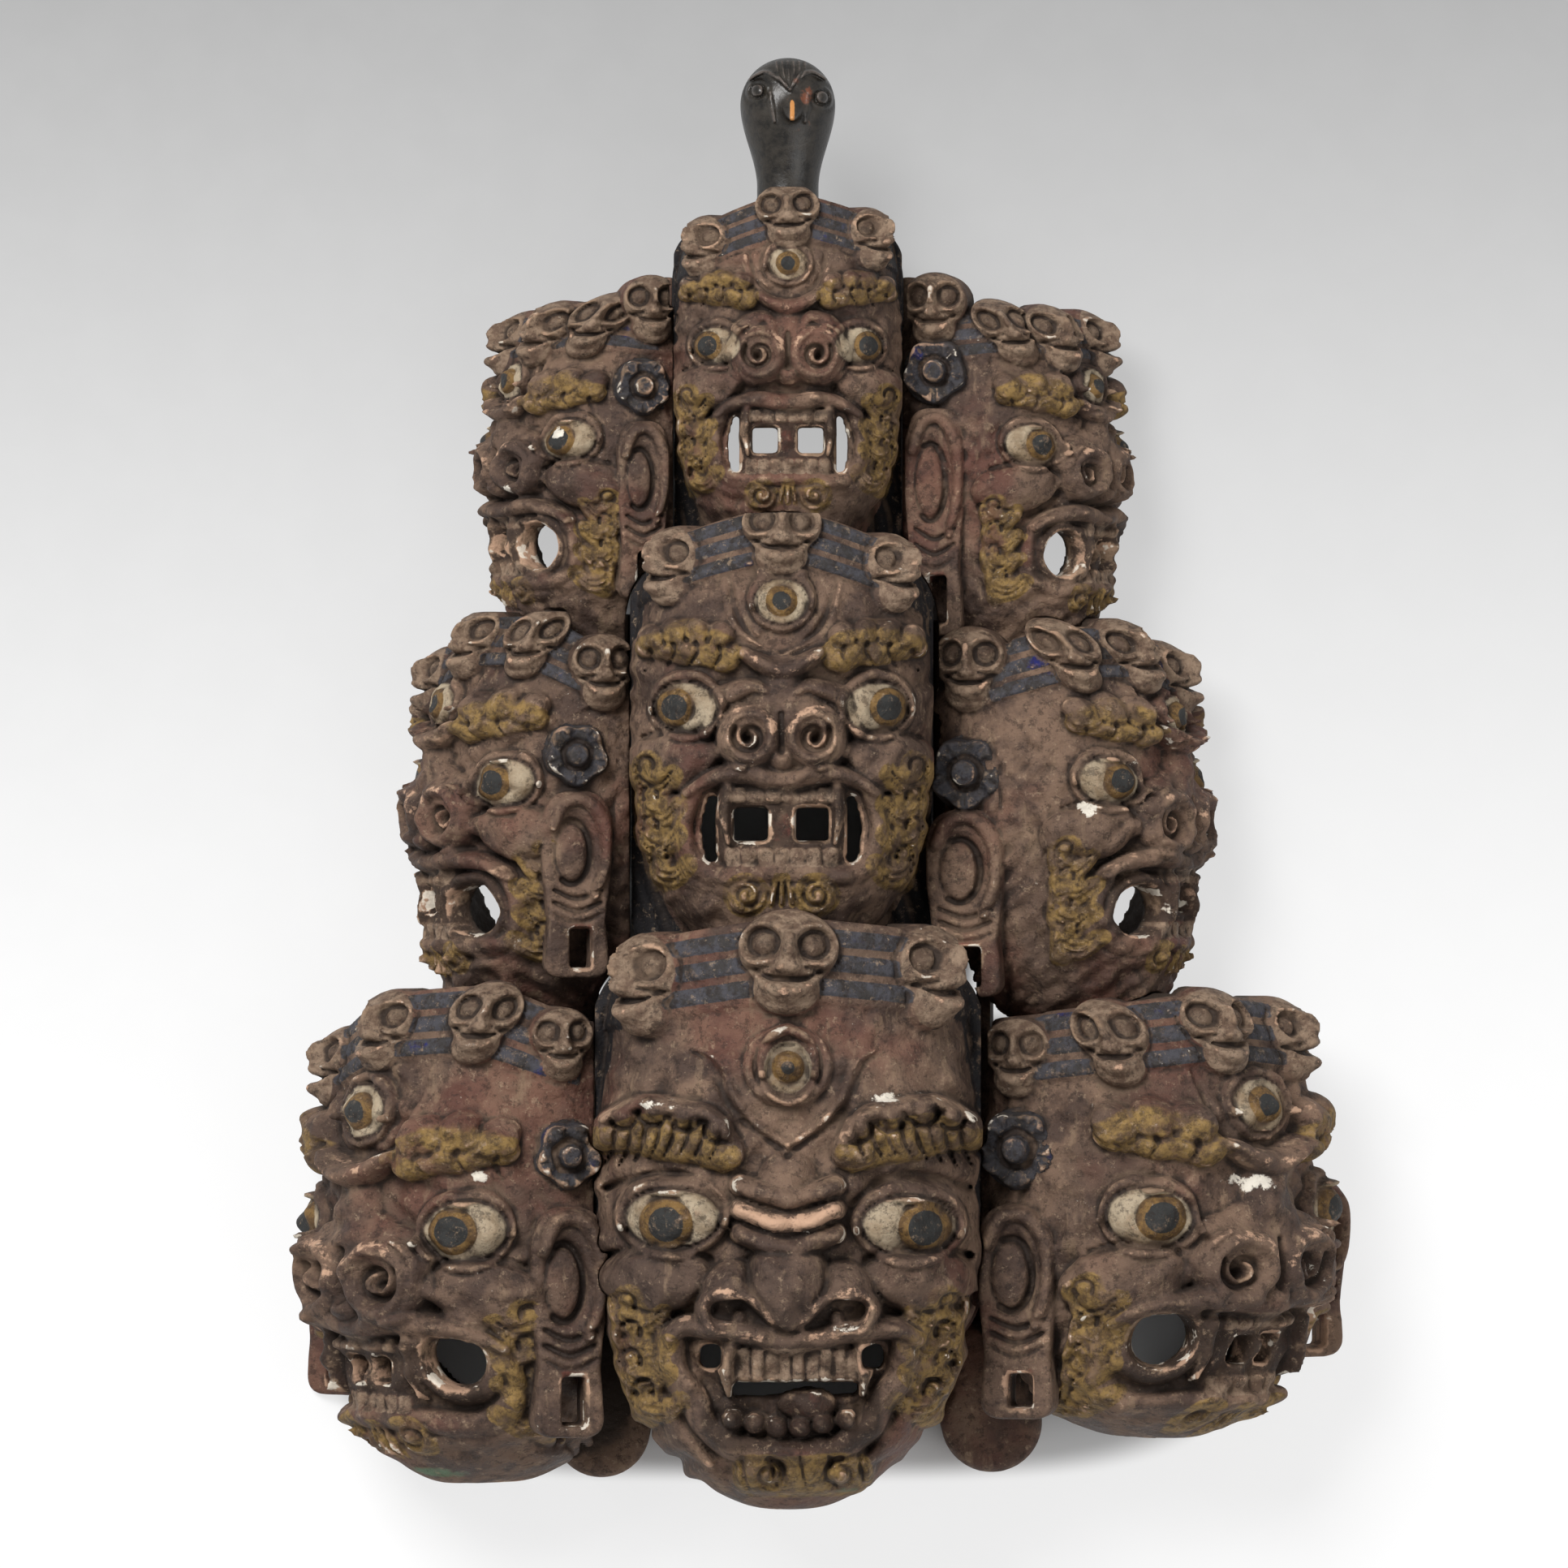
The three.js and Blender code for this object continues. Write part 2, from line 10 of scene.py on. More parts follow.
import bpy
import numpy as np
import openvdb
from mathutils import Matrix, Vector


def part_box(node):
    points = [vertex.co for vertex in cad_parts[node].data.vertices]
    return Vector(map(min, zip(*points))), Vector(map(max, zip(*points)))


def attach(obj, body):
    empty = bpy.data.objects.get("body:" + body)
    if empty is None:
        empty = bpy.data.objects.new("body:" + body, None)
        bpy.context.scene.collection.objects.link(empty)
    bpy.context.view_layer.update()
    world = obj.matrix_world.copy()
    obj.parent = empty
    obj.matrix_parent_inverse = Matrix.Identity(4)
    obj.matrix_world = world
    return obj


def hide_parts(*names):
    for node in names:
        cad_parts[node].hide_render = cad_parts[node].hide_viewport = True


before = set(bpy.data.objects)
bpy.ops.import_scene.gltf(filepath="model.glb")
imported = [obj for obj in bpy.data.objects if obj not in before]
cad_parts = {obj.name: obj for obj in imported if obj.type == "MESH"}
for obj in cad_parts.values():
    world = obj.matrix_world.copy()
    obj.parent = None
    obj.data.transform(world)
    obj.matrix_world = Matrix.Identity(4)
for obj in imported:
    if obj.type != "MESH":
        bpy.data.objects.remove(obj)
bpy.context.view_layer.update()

# %% [markdown]
# ## Where each head stands
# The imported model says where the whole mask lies. The sizes below are the ones each block was sawn to:
# heights in millimetres from the lowest chin, the half width at the eyes, how far the upright axis of
# the head stands above the back rim, and how far it turns. On a face itself everything is counted in
# half widths of that head, sideways from its middle line and upwards from its eyes.
#
# An ear is given by the angle of its foot round the head, the heights of its top and bottom, the way it
# faces and its width. inner_skull, the skull beside the centre head, has its place and size in
# millimetres and the way it faces. A hole, and each of the traces of paint, has a place and half sizes.

# %% The blocks
MM = 0.001
GLUE_LINE = 0.4
WALL = 0.105                 # wall thickness, in half widths
DEPTH = 0.89                 # depth in front of the axis, in half widths
FOREHEAD = 0.905             # width under the crown, in half widths
LOW_CHIN = 2.8               # the lowest chin stands this far above the lower edge of its node

HEADS = {
    "head_low_centre": dict(
        x=0, half=109, chin=2, eyes=166, crown=282, top=329, axis=145, turn=0, jut=0.85, style="broad",
        skulls=(-54, 0, 54), rise=(0.01, 0.09, -0.03), skull=0.235,
        traces=(("flake", 0.5, 0.66, 0.07, 0.03), ("flake", -0.68, 0.63, 0.1, 0.025),
                ("flake", 0.3, -0.5, 0.05, 0.02)), seed=1),
    "head_low_left": dict(
        x=-168, half=103, chin=11, eyes=161, crown=247, top=287, axis=68, turn=-52, jut=0.55,
        style="curled", brow=0.42, third=0.64, nose=-0.28, roll=0.2, mouth=(-0.6, -1.0),
        hole=(0.57, -0.7, 0.15, 0.145), skulls=(80, 44, 3, -38),
        rise=(-0.055, 0.12, 0.07, -0.145), skull=0.2,
        ear=(77, 0.13, -1.13, 64, 1.0), inner_skull=(-128, 266, 150, 18.5, 12), rosette=(0.41, 0.185),
        outer_ear=(-72, 0.1, -1.0, 22, 1.0), lobe=(-107, 42, 28),
        traces=(("green", 0.12, -1.36, 0.26, 0.035), ("flake", 0.75, 0.3, 0.05, 0.03)), seed=2),
    "head_low_right": dict(
        x=203, half=103, chin=37, eyes=169, crown=245, top=284, axis=68, turn=44.5, jut=0.55,
        style="curled", brow=0.42, third=0.6, nose=-0.29, roll=0.19, mouth=(-0.54, -0.98),
        hole=(0.56, -0.67, 0.155, 0.14), skulls=(96, 54, 12, -30),
        rise=(-0.03, 0.035, 0.095, 0.035), skull=0.21,
        ear=(92, 0.06, -1.12, 56, 1.05), inner_skull=(130, 258, 130, 20, -10), rosette=(0.36, 0.22),
        outer_ear=(-76, 0.16, -0.86, 20, 1.15), lobe=(117, 46, 29),
        traces=(("flake", -0.12, 0.18, 0.12, 0.05), ("flake", 0.3, -0.32, 0.04, 0.05)), seed=3),
    "head_mid_centre": dict(
        x=-3.5, half=86, chin=298, eyes=455, crown=519, top=551, axis=120, turn=0, jut=0.35,
        style="curled", brow=0.38, third=0.69, nose=-0.19, roll=0.18, mouth=(-0.52, -1.02),
        skulls=(-54, 0, 54), rise=(-0.03, 0.21, 0.015), skull=0.235, seed=4),
    "head_mid_left": dict(
        x=-131, half=82, chin=272, eyes=413, crown=470, top=498, axis=45, turn=-66, jut=0.15,
        style="curled", brow=0.42, third=0.55, nose=-0.24, roll=0.2, mouth=(-0.62, -1.08),
        hole=(0.42, -0.88, 0.19, 0.16), skulls=(88, 48, 13, -24),
        rise=(-0.11, 0.117, 0.117, -0.136), skull=0.22,
        ear=(72, -0.06, -1.35, 74, 1.15), inner_skull=(-105, 476, 117, 19.5, 10), rosette=(0.19, 0.22),
        seed=5),
    "head_mid_right": dict(
        x=154, half=82, chin=270, eyes=414, crown=464, top=494, axis=45, turn=65, jut=0.15,
        style="curled", brow=0.38, third=0.45, nose=-0.29, roll=0.2, mouth=(-0.62, -1.08),
        hole=(0.42, -0.9, 0.19, 0.16), skulls=(102, 54, 18, -18),
        rise=(-0.064, 0.094, 0.094, -0.05), skull=0.235,
        ear=(107, -0.2, -1.5, 75, 1.3), inner_skull=(104, 478, 101, 21.5, -10), rosette=(0.05, 0.26),
        traces=(("flake", -0.85, -0.2, 0.06, 0.055), ("flake", -0.5, 0.12, 0.04, 0.02)), seed=6),
    "head_top_centre": dict(
        x=0, half=65, chin=528, eyes=659, crown=712, top=739, axis=100, turn=0, jut=0.35,
        style="curled", brow=0.46, third=0.71, nose=-0.08, roll=0.22, mouth=(-0.56, -1.1),
        skulls=(-54, 0, 54), rise=(-0.065, 0.126, -0.135), skull=0.255, seed=7),
    "head_top_left": dict(
        x=-102.5, half=70, chin=470, eyes=608, crown=652, top=682, axis=38, turn=-63, jut=0.15,
        style="curled", brow=0.36, third=0.5, nose=-0.22, roll=0.19, mouth=(-0.62, -1.08),
        hole=(0.4, -0.86, 0.17, 0.17), skulls=(90, 49, 17, -22),
        rise=(0.06, 0.118, 0.053, 0), skull=0.245,
        ear=(79, 0.15, -1.3, 71, 1.0), inner_skull=(-78, 683, 92, 17.5, 10), rosette=(0.43, 0.23),
        traces=(("flake", 0.62, 0.05, 0.06, 0.05), ("flake", 0.2, -0.4, 0.05, 0.04)), seed=8),
    "head_top_right": dict(
        x=120.5, half=70, chin=470, eyes=605, crown=652, top=682, axis=38, turn=60, jut=0.15,
        style="curled", brow=0.38, third=0.5, nose=-0.22, roll=0.19, mouth=(-0.64, -1.1),
        hole=(0.4, -0.88, 0.16, 0.17), skulls=(94, 50, 21, -20),
        rise=(0.0, 0.053, 0.014, 0), skull=0.25,
        ear=(93, 0.3, -1.55, 68, 1.15), inner_skull=(84, 683, 88, 19, -10), rosette=(0.6, 0.265), seed=9),
}
BIRD = dict(x=0, z=104, base=739.4, neck=17.5, head=27, top=825, beak=22)

chin_low, chin_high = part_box("head_low_centre")
CENTRE_X = (chin_low.x + chin_high.x) / 2
BASE_Y = chin_low.y - LOW_CHIN * MM
print("middle line at", round(CENTRE_X, 4), "m, chins counted from", round(BASE_Y, 4), "m")

# %% [markdown]
# ## A flat drawing of the relief
# A carver draws the face on the block and then decides how deep each line goes. The script does the
# same: a drawing holds, for each place on the skin, how proud the wood stands and which paint lies
# there. It is filled with a few kinds of mark: round mounds, flat discs, slabs with square edges, and
# strokes that run along a curve. Working flat first keeps a hundred marks quick and easy to move.

# %% Marks on a flat drawing
PAINTS = ("gold", "blue", "black", "bone", "eye_white", "iris", "pupil", "mouth", "red", "green", "chip",
          "flake")
PIERCED = -0.6               # a depth that goes right through the wall


def smooth_step(value):
    value = np.clip(value, 0, 1)
    return value * value * (3 - 2 * value)


def curve(points, steps=6):
    """A smooth line through the points, as a list of close points."""
    p = np.array([points[0], *points, points[-1]], float)
    line = []
    for i in range(1, len(p) - 2):
        for t in np.arange(steps) / steps:
            line.append(0.5 * (2 * p[i] + (p[i + 1] - p[i - 1]) * t
                               + (2 * p[i - 1] - 5 * p[i] + 4 * p[i + 1] - p[i + 2]) * t ** 2
                               + (3 * p[i] - p[i - 1] - 3 * p[i + 1] + p[i + 2]) * t ** 3))
    return np.array([*line, p[-1]])


def arc(s, v, half_s, half_v, start, end, count=9):
    """Points along part of an oval, from one angle to another, in degrees from the +s side."""
    angles = np.radians(np.linspace(start, end, count))
    return [(s + half_s * math.cos(a), v + half_v * math.sin(a)) for a in angles]


def mirror(side, *points):
    """The same points on one side of the middle line, where side is 1 or -1."""
    return [(side * s, v) for s, v in points]


def coil(s, v, radius, turns, start, direction=1):
    """Points along a spiral that winds inwards."""
    steps = np.linspace(0, 1, int(12 * turns) + 2)
    return [(s + radius * (1 - 0.8 * t) * math.cos(math.radians(start) + direction * 2 * math.pi * turns * t),
             v + radius * (1 - 0.8 * t) * math.sin(math.radians(start) + direction * 2 * math.pi * turns * t))
            for t in steps]


class Drawing:
    """How proud the wood stands, and the paint on it, over a flat sheet of the skin."""

    def __init__(self, reach, low, high, step=0.006):
        self.first = (-reach, low)
        self.step = step
        s = np.arange(-reach, reach, step, dtype=np.float32)
        v = np.arange(low, high, step, dtype=np.float32)
        self.S, self.V = np.meshgrid(s, v, indexing="ij")
        self.high = np.zeros_like(self.S)
        self.outside = np.full_like(self.S, 1.0)      # distance outside the nearest skull
        self.paints = {}

    def seen_from(self, s, v, lean):
        """How far every place on the sheet is from one place, along and across a leaning line."""
        c, n = math.cos(math.radians(lean)), math.sin(math.radians(lean))
        a, b = self.S - s, self.V - v
        return a * c + b * n, b * c - a * n

    def mound(self, s, v, half_s, half_v, power=0.5, lean=0):
        a, b = self.seen_from(s, v, lean)
        return np.clip(1 - (a / half_s) ** 2 - (b / half_v) ** 2, 0, 1) ** power

    def disc(self, s, v, half_s, half_v, soft=0.03, lean=0):
        a, b = self.seen_from(s, v, lean)
        away = np.sqrt((a / half_s) ** 2 + (b / half_v) ** 2)
        return np.clip(0.5 + (1 - away) * min(half_s, half_v) / soft, 0, 1)

    def slab(self, s, v, half_s, half_v, soft=0.03, corner=0.03):
        ds = np.abs(self.S - s) - half_s + corner
        dv = np.abs(self.V - v) - half_v + corner
        past = np.sqrt(np.maximum(ds, 0) ** 2 + np.maximum(dv, 0) ** 2)
        away = past + np.minimum(np.maximum(ds, dv), 0) - corner
        return np.clip(0.5 - away / soft, 0, 1)

    def stroke(self, points, wide, power=1.0, ends=(1, 1)):
        """A ridge along a curve, as tall as 1 along its middle. ends are its widths at the two ends."""
        line = curve(points)
        reach = wide * max(ends + (1,)) * 1.05
        s0, v0 = self.first
        i0, j0 = ((line.min(0) - reach - (s0, v0)) / self.step).astype(int).clip(0)
        i1, j1 = ((line.max(0) + reach - (s0, v0)) / self.step).astype(int).clip(0) + 1
        S, V = self.S[i0:i1, j0:j1], self.V[i0:i1, j0:j1]
        out = np.zeros_like(self.S)
        if S.size == 0:
            return out
        best = np.full_like(S, 9.0)
        lengths = np.append(0, np.cumsum(np.hypot(*np.diff(line, axis=0).T)))
        total = max(lengths[-1], 1e-6)
        for k in range(len(line) - 1):
            (a, b), (c, d) = line[k], line[k + 1]
            run = max((c - a) ** 2 + (d - b) ** 2, 1e-9)
            t = np.clip(((S - a) * (c - a) + (V - b) * (d - b)) / run, 0, 1)
            along = (lengths[k] + t * (lengths[k + 1] - lengths[k])) / total
            width = wide * np.where(along < 0.5, ends[0] + (1 - ends[0]) * along * 2,
                                    1 + (ends[1] - 1) * (along * 2 - 1))
            gap = np.hypot(S - a - t * (c - a), V - b - t * (d - b))
            best = np.minimum(best, gap / np.maximum(width, 1e-4))
        out[i0:i1, j0:j1] = np.clip(1 - best ** 2, 0, 1) ** power
        return out

    def lift(self, shape, height, blend=0.02):
        """Raise to a height over the skin, keeping what is already taller, with a soft join."""
        new = height * shape
        join = np.maximum(blend - np.abs(self.high - new), 0) ** 2 / (4 * blend) * np.minimum(shape * 4, 1)
        self.high = np.where(shape > 0, np.maximum(self.high, new) + join, self.high)

    def add(self, shape, height):
        self.high = self.high + height * shape

    def level(self, shape, height):
        self.high = self.high + (height - self.high) * shape

    def coat(self, paint, shape):
        self.paints[paint] = np.maximum(self.paints.get(paint, 0), shape)

    def uncoat(self, shape, *paints):
        for paint in paints or list(self.paints):
            if paint in self.paints:
                self.paints[paint] = self.paints[paint] * (1 - shape)

    def read(self, field, s, v):
        """The drawing's value at each place, between its own points."""
        i = np.clip((s - self.first[0]) / self.step, 0, field.shape[0] - 1.001)
        j = np.clip((v - self.first[1]) / self.step, 0, field.shape[1] - 1.001)
        i0, j0 = i.astype(np.int32), j.astype(np.int32)
        fi, fj = (i - i0).astype(np.float32), (j - j0).astype(np.float32)
        low = field[i0, j0] * (1 - fj) + field[i0, j0 + 1] * fj
        high = field[i0 + 1, j0] * (1 - fj) + field[i0 + 1, j0 + 1] * fj
        return low * (1 - fi) + high * fi


print("kinds of mark: mound, disc, slab, stroke")

# %% [markdown]
# ## An eye
# Every eye is a ball between two lids, with a ring cut round the iris. The ball bulges most on the
# centre heads. The same helper carves the two eyes of a face and the upright one in its forehead.

# %% Eyes
def carve_eye(face, s, v, half_s, half_v, proud=0.14, iris=None, iris_size=0.14, pupil=0.09, lean=0, dip=0.0,
              lid=0.045):
    """iris is the place of the pupil. dip pulls the middle of the upper lid down, as in a heart."""
    face.add(face.mound(s, v, half_s * 1.35, half_v * 1.5, 1.0, lean), -0.05)
    face.lift(face.mound(s, v, half_s, half_v, 0.45, lean), proud)
    c, n = math.cos(math.radians(lean)), math.sin(math.radians(lean))
    for start, end, rise, wide in ((192, -12, 1.22, lid), (190, 350, 1.15, lid * 0.8)):
        rim = []
        for a, b in arc(0, 0, half_s * 1.1, half_v * rise, start, end, 13):
            if start > end:
                b -= dip * math.exp(-(a / (half_s * 0.3)) ** 2)
            rim.append((s + a * c - b * n, v + b * c + a * n))
        face.add(face.stroke(rim, wide * 1.15, 0.7, (0.5, 0.5)), 0.09 if start > end else 0.075)
    ball = face.disc(s, v, half_s, half_v, 0.03, lean)
    face.uncoat(ball)
    face.coat("eye_white", face.disc(s, v, half_s * 0.97, half_v * 0.95, 0.04, lean))
    edge = [(s + a * c - b * n, v + b * c + a * n) for a, b in arc(0, 0, half_s, half_v, 0, 360, 17)]
    face.coat("mouth", face.stroke(edge, 0.03, 1.0) * 0.7)
    look_s, look_v = iris or (s, v)
    ring = face.stroke(arc(look_s, look_v, iris_size, iris_size, 0, 360, 17), 0.018, 1.0)
    face.add(ring * ball, -0.018)
    face.coat("iris", face.disc(look_s, look_v, iris_size, iris_size) * ball)
    face.add(face.disc(look_s, look_v, pupil, pupil, 0.05) * ball, 0.012)
    face.coat("pupil", face.disc(look_s, look_v, pupil, pupil) * ball)


print("an eye has a ball, two lids, an iris and a pupil")

# %% [markdown]
# ## Gold hair
# The brows, the beard along the jaw and the curls on the chin were gilded. They are carved as fat
# locks: each one swells, overlaps the next and ends in a hook.

# %% Brows, flames of beard and chin curls
def carve_brow(face, side, inner, outer, low, thick=0.135, lobes=4):
    """A leaf-shaped brow: gilded strands below, and a row of hooked lobes along the top."""
    reach = outer - inner
    line = [(side * (inner + reach * t), low + 0.02 + rise) for t, rise in
            ((0.06, 0.0), (0.3, 0.07), (0.6, 0.09), (0.92, 0.06))]
    face.lift(face.stroke(line, thick * 1.12, 0.5, (0.7, 0.45)), 0.165)
    face.coat("gold", face.stroke(line, thick * 1.15, 0.35, (0.75, 0.5)))
    for k in range(lobes):
        t = (k + 0.45) / lobes
        s = side * (inner + reach * t)
        v = low + 0.11 + 0.07 * math.sin(math.pi * (t * 0.9 + 0.1))
        size = reach / lobes * 0.7
        face.lift(face.mound(s, v, size, size * 0.85, 0.5, side * 25), 0.19)
        hook = arc(s, v - size * 0.1, size * 0.9, size * 0.75, 100 - side * 70, 100 - side * 230, 8)
        face.add(face.stroke(hook, 0.022, 1.0, (0.6, 1)), -0.03)
        face.uncoat(face.disc(s, v + size * 0.35, size * 0.9, size * 0.4, 0.05) * 0.35, "gold")
        strand = [(s + side * 0.01, v - size * 0.7), (s, v - 0.14), (s + side * 0.05, v - 0.22)]
        face.add(face.stroke(strand, 0.02, 1.0, (1, 0.5)), -0.04)


def carve_flames(face, side, s, high, low, wide=0.15, locks=4):
    """Locks of beard, one above the other along the jaw, each sweeping up and outwards to a hook."""
    drop = (high - low) / locks
    ground = [(side * s, high), (side * (s - 0.04), (high + low) / 2), (side * (s - 0.06), low)]
    face.lift(face.stroke(ground, wide * 1.05, 0.5, (0.6, 0.6)), 0.075)
    face.coat("gold", face.stroke(ground, wide * 1.1, 0.4, (0.6, 0.6)) * 0.75)
    for k in range(locks):
        v = high - drop * (k + 0.5)
        at = side * (s - 0.05 * math.sin(math.pi * (k + 0.5) / locks) - 0.03 * k * (k > 2))
        lock = [(at - side * wide * 0.9, v + drop * 0.1), (at - side * wide * 0.35, v - drop * 0.32),
                (at + side * wide * 0.35, v - drop * 0.22), (at + side * wide * 0.7, v + drop * 0.3),
                (at + side * wide * 0.35, v + drop * 0.62)]
        face.lift(face.stroke(lock, drop * 0.5, 0.6, (0.7, 0.35)), 0.105, 0.01)
        face.coat("gold", face.stroke(lock, drop * 0.52, 0.4, (0.8, 0.5)))
        for shift in (-0.14, 0.1):
            cut = [(a + side * 0.01, b + shift * drop) for a, b in lock[:4]]
            face.add(face.stroke(cut, 0.02, 1.0, (0.5, 0.5)), -0.032)
        start, end = (-40, 200) if side > 0 else (220, -20)
        hook = arc(at + side * wide * 0.3, v + drop * 0.42, 0.05, 0.05, start, end, 7)
        face.add(face.stroke(hook, 0.02, 1.0), -0.04)


def carve_chin_curl(face, s, v, radius, turn):
    face.lift(face.mound(s, v, radius, radius * 0.92, 0.5), 0.14)
    face.add(face.stroke(coil(s, v, radius * 0.72, 1.3, 90, turn), 0.024), -0.05)
    face.add(face.mound(s, v, radius * 0.35, radius * 0.35, 1.0), 0.03)
    face.coat("gold", face.disc(s, v, radius * 1.05, radius * 1.0, 0.04))


print("locks of hair: brow, flames, chin curl")

# %% [markdown]
# ## The curled nose and the open mouth
# Eight of the heads share one kind of face: a nose that ends in two coiled rolls, a wide lip, and teeth
# that are pierced right through so that the dancer can breathe and see. A head that turns away has a
# large hole at each corner of its mouth, and its marks spread further round the skin.

# %% Face with a curled nose
def carve_roll(face, s, v, radius, side, proud):
    """One coiled nostril, standing out like the end of a rolled cloth."""
    face.lift(face.mound(s, v, radius * 1.22, radius * 1.22, 0.5), proud * 0.8)
    face.level(face.disc(s, v, radius, radius * 1.05, 0.09), proud)
    face.add(face.mound(s, v, radius * 0.8, radius * 0.85, 1.0), -0.04)
    face.add(face.stroke(arc(s, v, radius * 0.84, radius * 0.9, 0, 360, 17), radius * 0.24, 0.8), 0.035)
    face.add(face.stroke(coil(s, v, radius * 0.62, 1.35, 90 - side * 60, -side), 0.026, 1.0), -0.07)
    face.add(face.mound(s + side * 0.01, v - 0.01, 0.04, 0.055, 0.7), -0.12)
    face.add(face.stroke(arc(s, v, radius * 1.18, radius * 1.2, 90 - side * 20, 90 - side * 170, 9),
                         0.05, 0.8, (0.3, 0.5)), 0.06)
    face.coat("chip", face.stroke(arc(s, v, radius * 0.92, radius * 0.98, 60 if side > 0 else 120,
                                      170 if side > 0 else 10, 7), 0.05, 0.6) * 0.66)


def carve_teeth(face, left, right, high, low, count, proud):
    """A row of blunt teeth between two heights."""
    wide = (right - left) / count
    middle, tall = (high + low) / 2, abs(high - low) / 2
    row = face.slab((left + right) / 2, middle, (right - left) / 2, tall * 0.9, 0.03, 0.03)
    face.lift(row, proud * 0.72)
    face.uncoat(row * 0.6, "mouth")
    for k in range(count):
        s = left + wide * (k + 0.5)
        shape = face.slab(s, middle, wide * 0.49, tall, 0.022, wide * 0.25)
        face.lift(shape, proud * (0.9 + 0.15 * math.sin(k * 2.3 + left * 9)), 0.01)
        face.uncoat(shape * 0.85, "mouth")
        face.coat("bone", shape * 0.8)


def carve_curled_mouth(face, head):
    high, low = head["mouth"]
    middle, tall = (high + low) / 2, (high - low) / 2
    turned = "hole" in head
    half = 0.5 if not turned else 0.72
    face.level(face.slab(0, middle, half, tall + 0.02, 0.1, 0.12), 0.0)
    # painted shade: the mouth between the lips is laid dark
    face.coat("mouth", face.slab(0, middle, half - 0.03, tall, 0.06, 0.1))
    block = 0.4 if not turned else 0.3
    face.level(face.slab(0, middle, block, tall * 0.98, 0.04, 0.04), 0.055)
    carve_teeth(face, -block + 0.06, block - 0.06, high + 0.01, high - tall * 0.42, 6, 0.105)
    carve_teeth(face, -block + 0.03, block - 0.03, low + tall * 0.44, low - 0.02, 7, 0.1)
    if turned:
        for side in (-1, 1):
            s, v, half_s, half_v = head["hole"]
            face.level(face.disc(side * s, v, half_s + 0.1, half_v + 0.1, 0.06), 0.07)
            rim = arc(side * s, v, half_s + 0.06, half_v + 0.07, 0, 360, 17)
            face.add(face.stroke(rim, 0.055, 0.8), 0.05)
            face.level(face.disc(side * s, v, half_s, half_v, 0.03), PIERCED)
            face.level(face.slab(side * 0.1, middle + 0.02, 0.055, tall * 0.3, 0.03, 0.02), PIERCED)
            fang = mirror(side, (s - half_s - 0.08, high), (s - half_s - 0.07, middle),
                          (s - half_s - 0.05, low + tall * 0.4))
            face.lift(face.stroke(fang, 0.05, 0.6, (1.1, 0.35)), 0.15)
            face.coat("bone", face.stroke(fang, 0.05, 0.5) * 0.5)
    else:
        for side in (-1, 1):
            face.level(face.slab(side * 0.2, middle + 0.01, 0.1, 0.1, 0.025, 0.02), PIERCED)
            slit = mirror(side, (0.45, high - 0.08), (0.475, middle), (0.46, low + 0.04))
            face.level(np.minimum(face.stroke(slit, 0.044, 0.5, (0.6, 0.8)) * 2.5, 1), PIERCED)
            fang = mirror(side, (0.36, high), (0.37, middle + 0.04), (0.345, middle - 0.12))
            face.lift(face.stroke(fang, 0.052, 0.6, (1.1, 0.3)), 0.16)
            face.coat("bone", face.stroke(fang, 0.052, 0.5) * 0.5)
        face.level(face.slab(0, middle + 0.01, 0.075, 0.12, 0.03, 0.02), 0.06)
        face.coat("red", face.slab(0, middle, 0.08, 0.12, 0.05) * 0.45)
    reach = 0.6 if not turned else head["hole"][0] + head["hole"][2] + 0.09
    for side in (-1, 1):
        lip = mirror(side, (reach * 0.96, high - 0.02), (reach + 0.05, middle), (reach * 0.98, low + 0.02),
                     (reach * 0.74, low - 0.08), (reach * 0.42, low - 0.06), (0, low - 0.05))
        face.lift(face.stroke(lip, 0.085, 0.6, (0.8, 1.0)), 0.125)
        outer = mirror(side, (reach + 0.1, middle - 0.1), (reach, low - 0.1), (reach * 0.6, low - 0.17),
                       (0.1, low - 0.15))
        face.lift(face.stroke(outer, 0.08, 0.8, (0.4, 0.8)), 0.08)
    lip = [(-reach * 1.02, high - 0.04), (-reach * 0.8, high + 0.05), (-0.26, high + 0.09), (0, high + 0.04),
           (0.26, high + 0.09), (reach * 0.8, high + 0.05), (reach * 1.02, high - 0.04)]
    face.lift(face.stroke(lip, 0.1, 0.6, (0.5, 0.5)), 0.175)
    face.add(face.stroke([(-0.4, high), (0, high - 0.01), (0.4, high)], 0.03), -0.03)
    shadow = [(s, high - 0.03) for s in (-0.45, 0, 0.45)]
    face.coat("mouth", face.stroke(shadow, 0.04, 1.0) * 0.7)


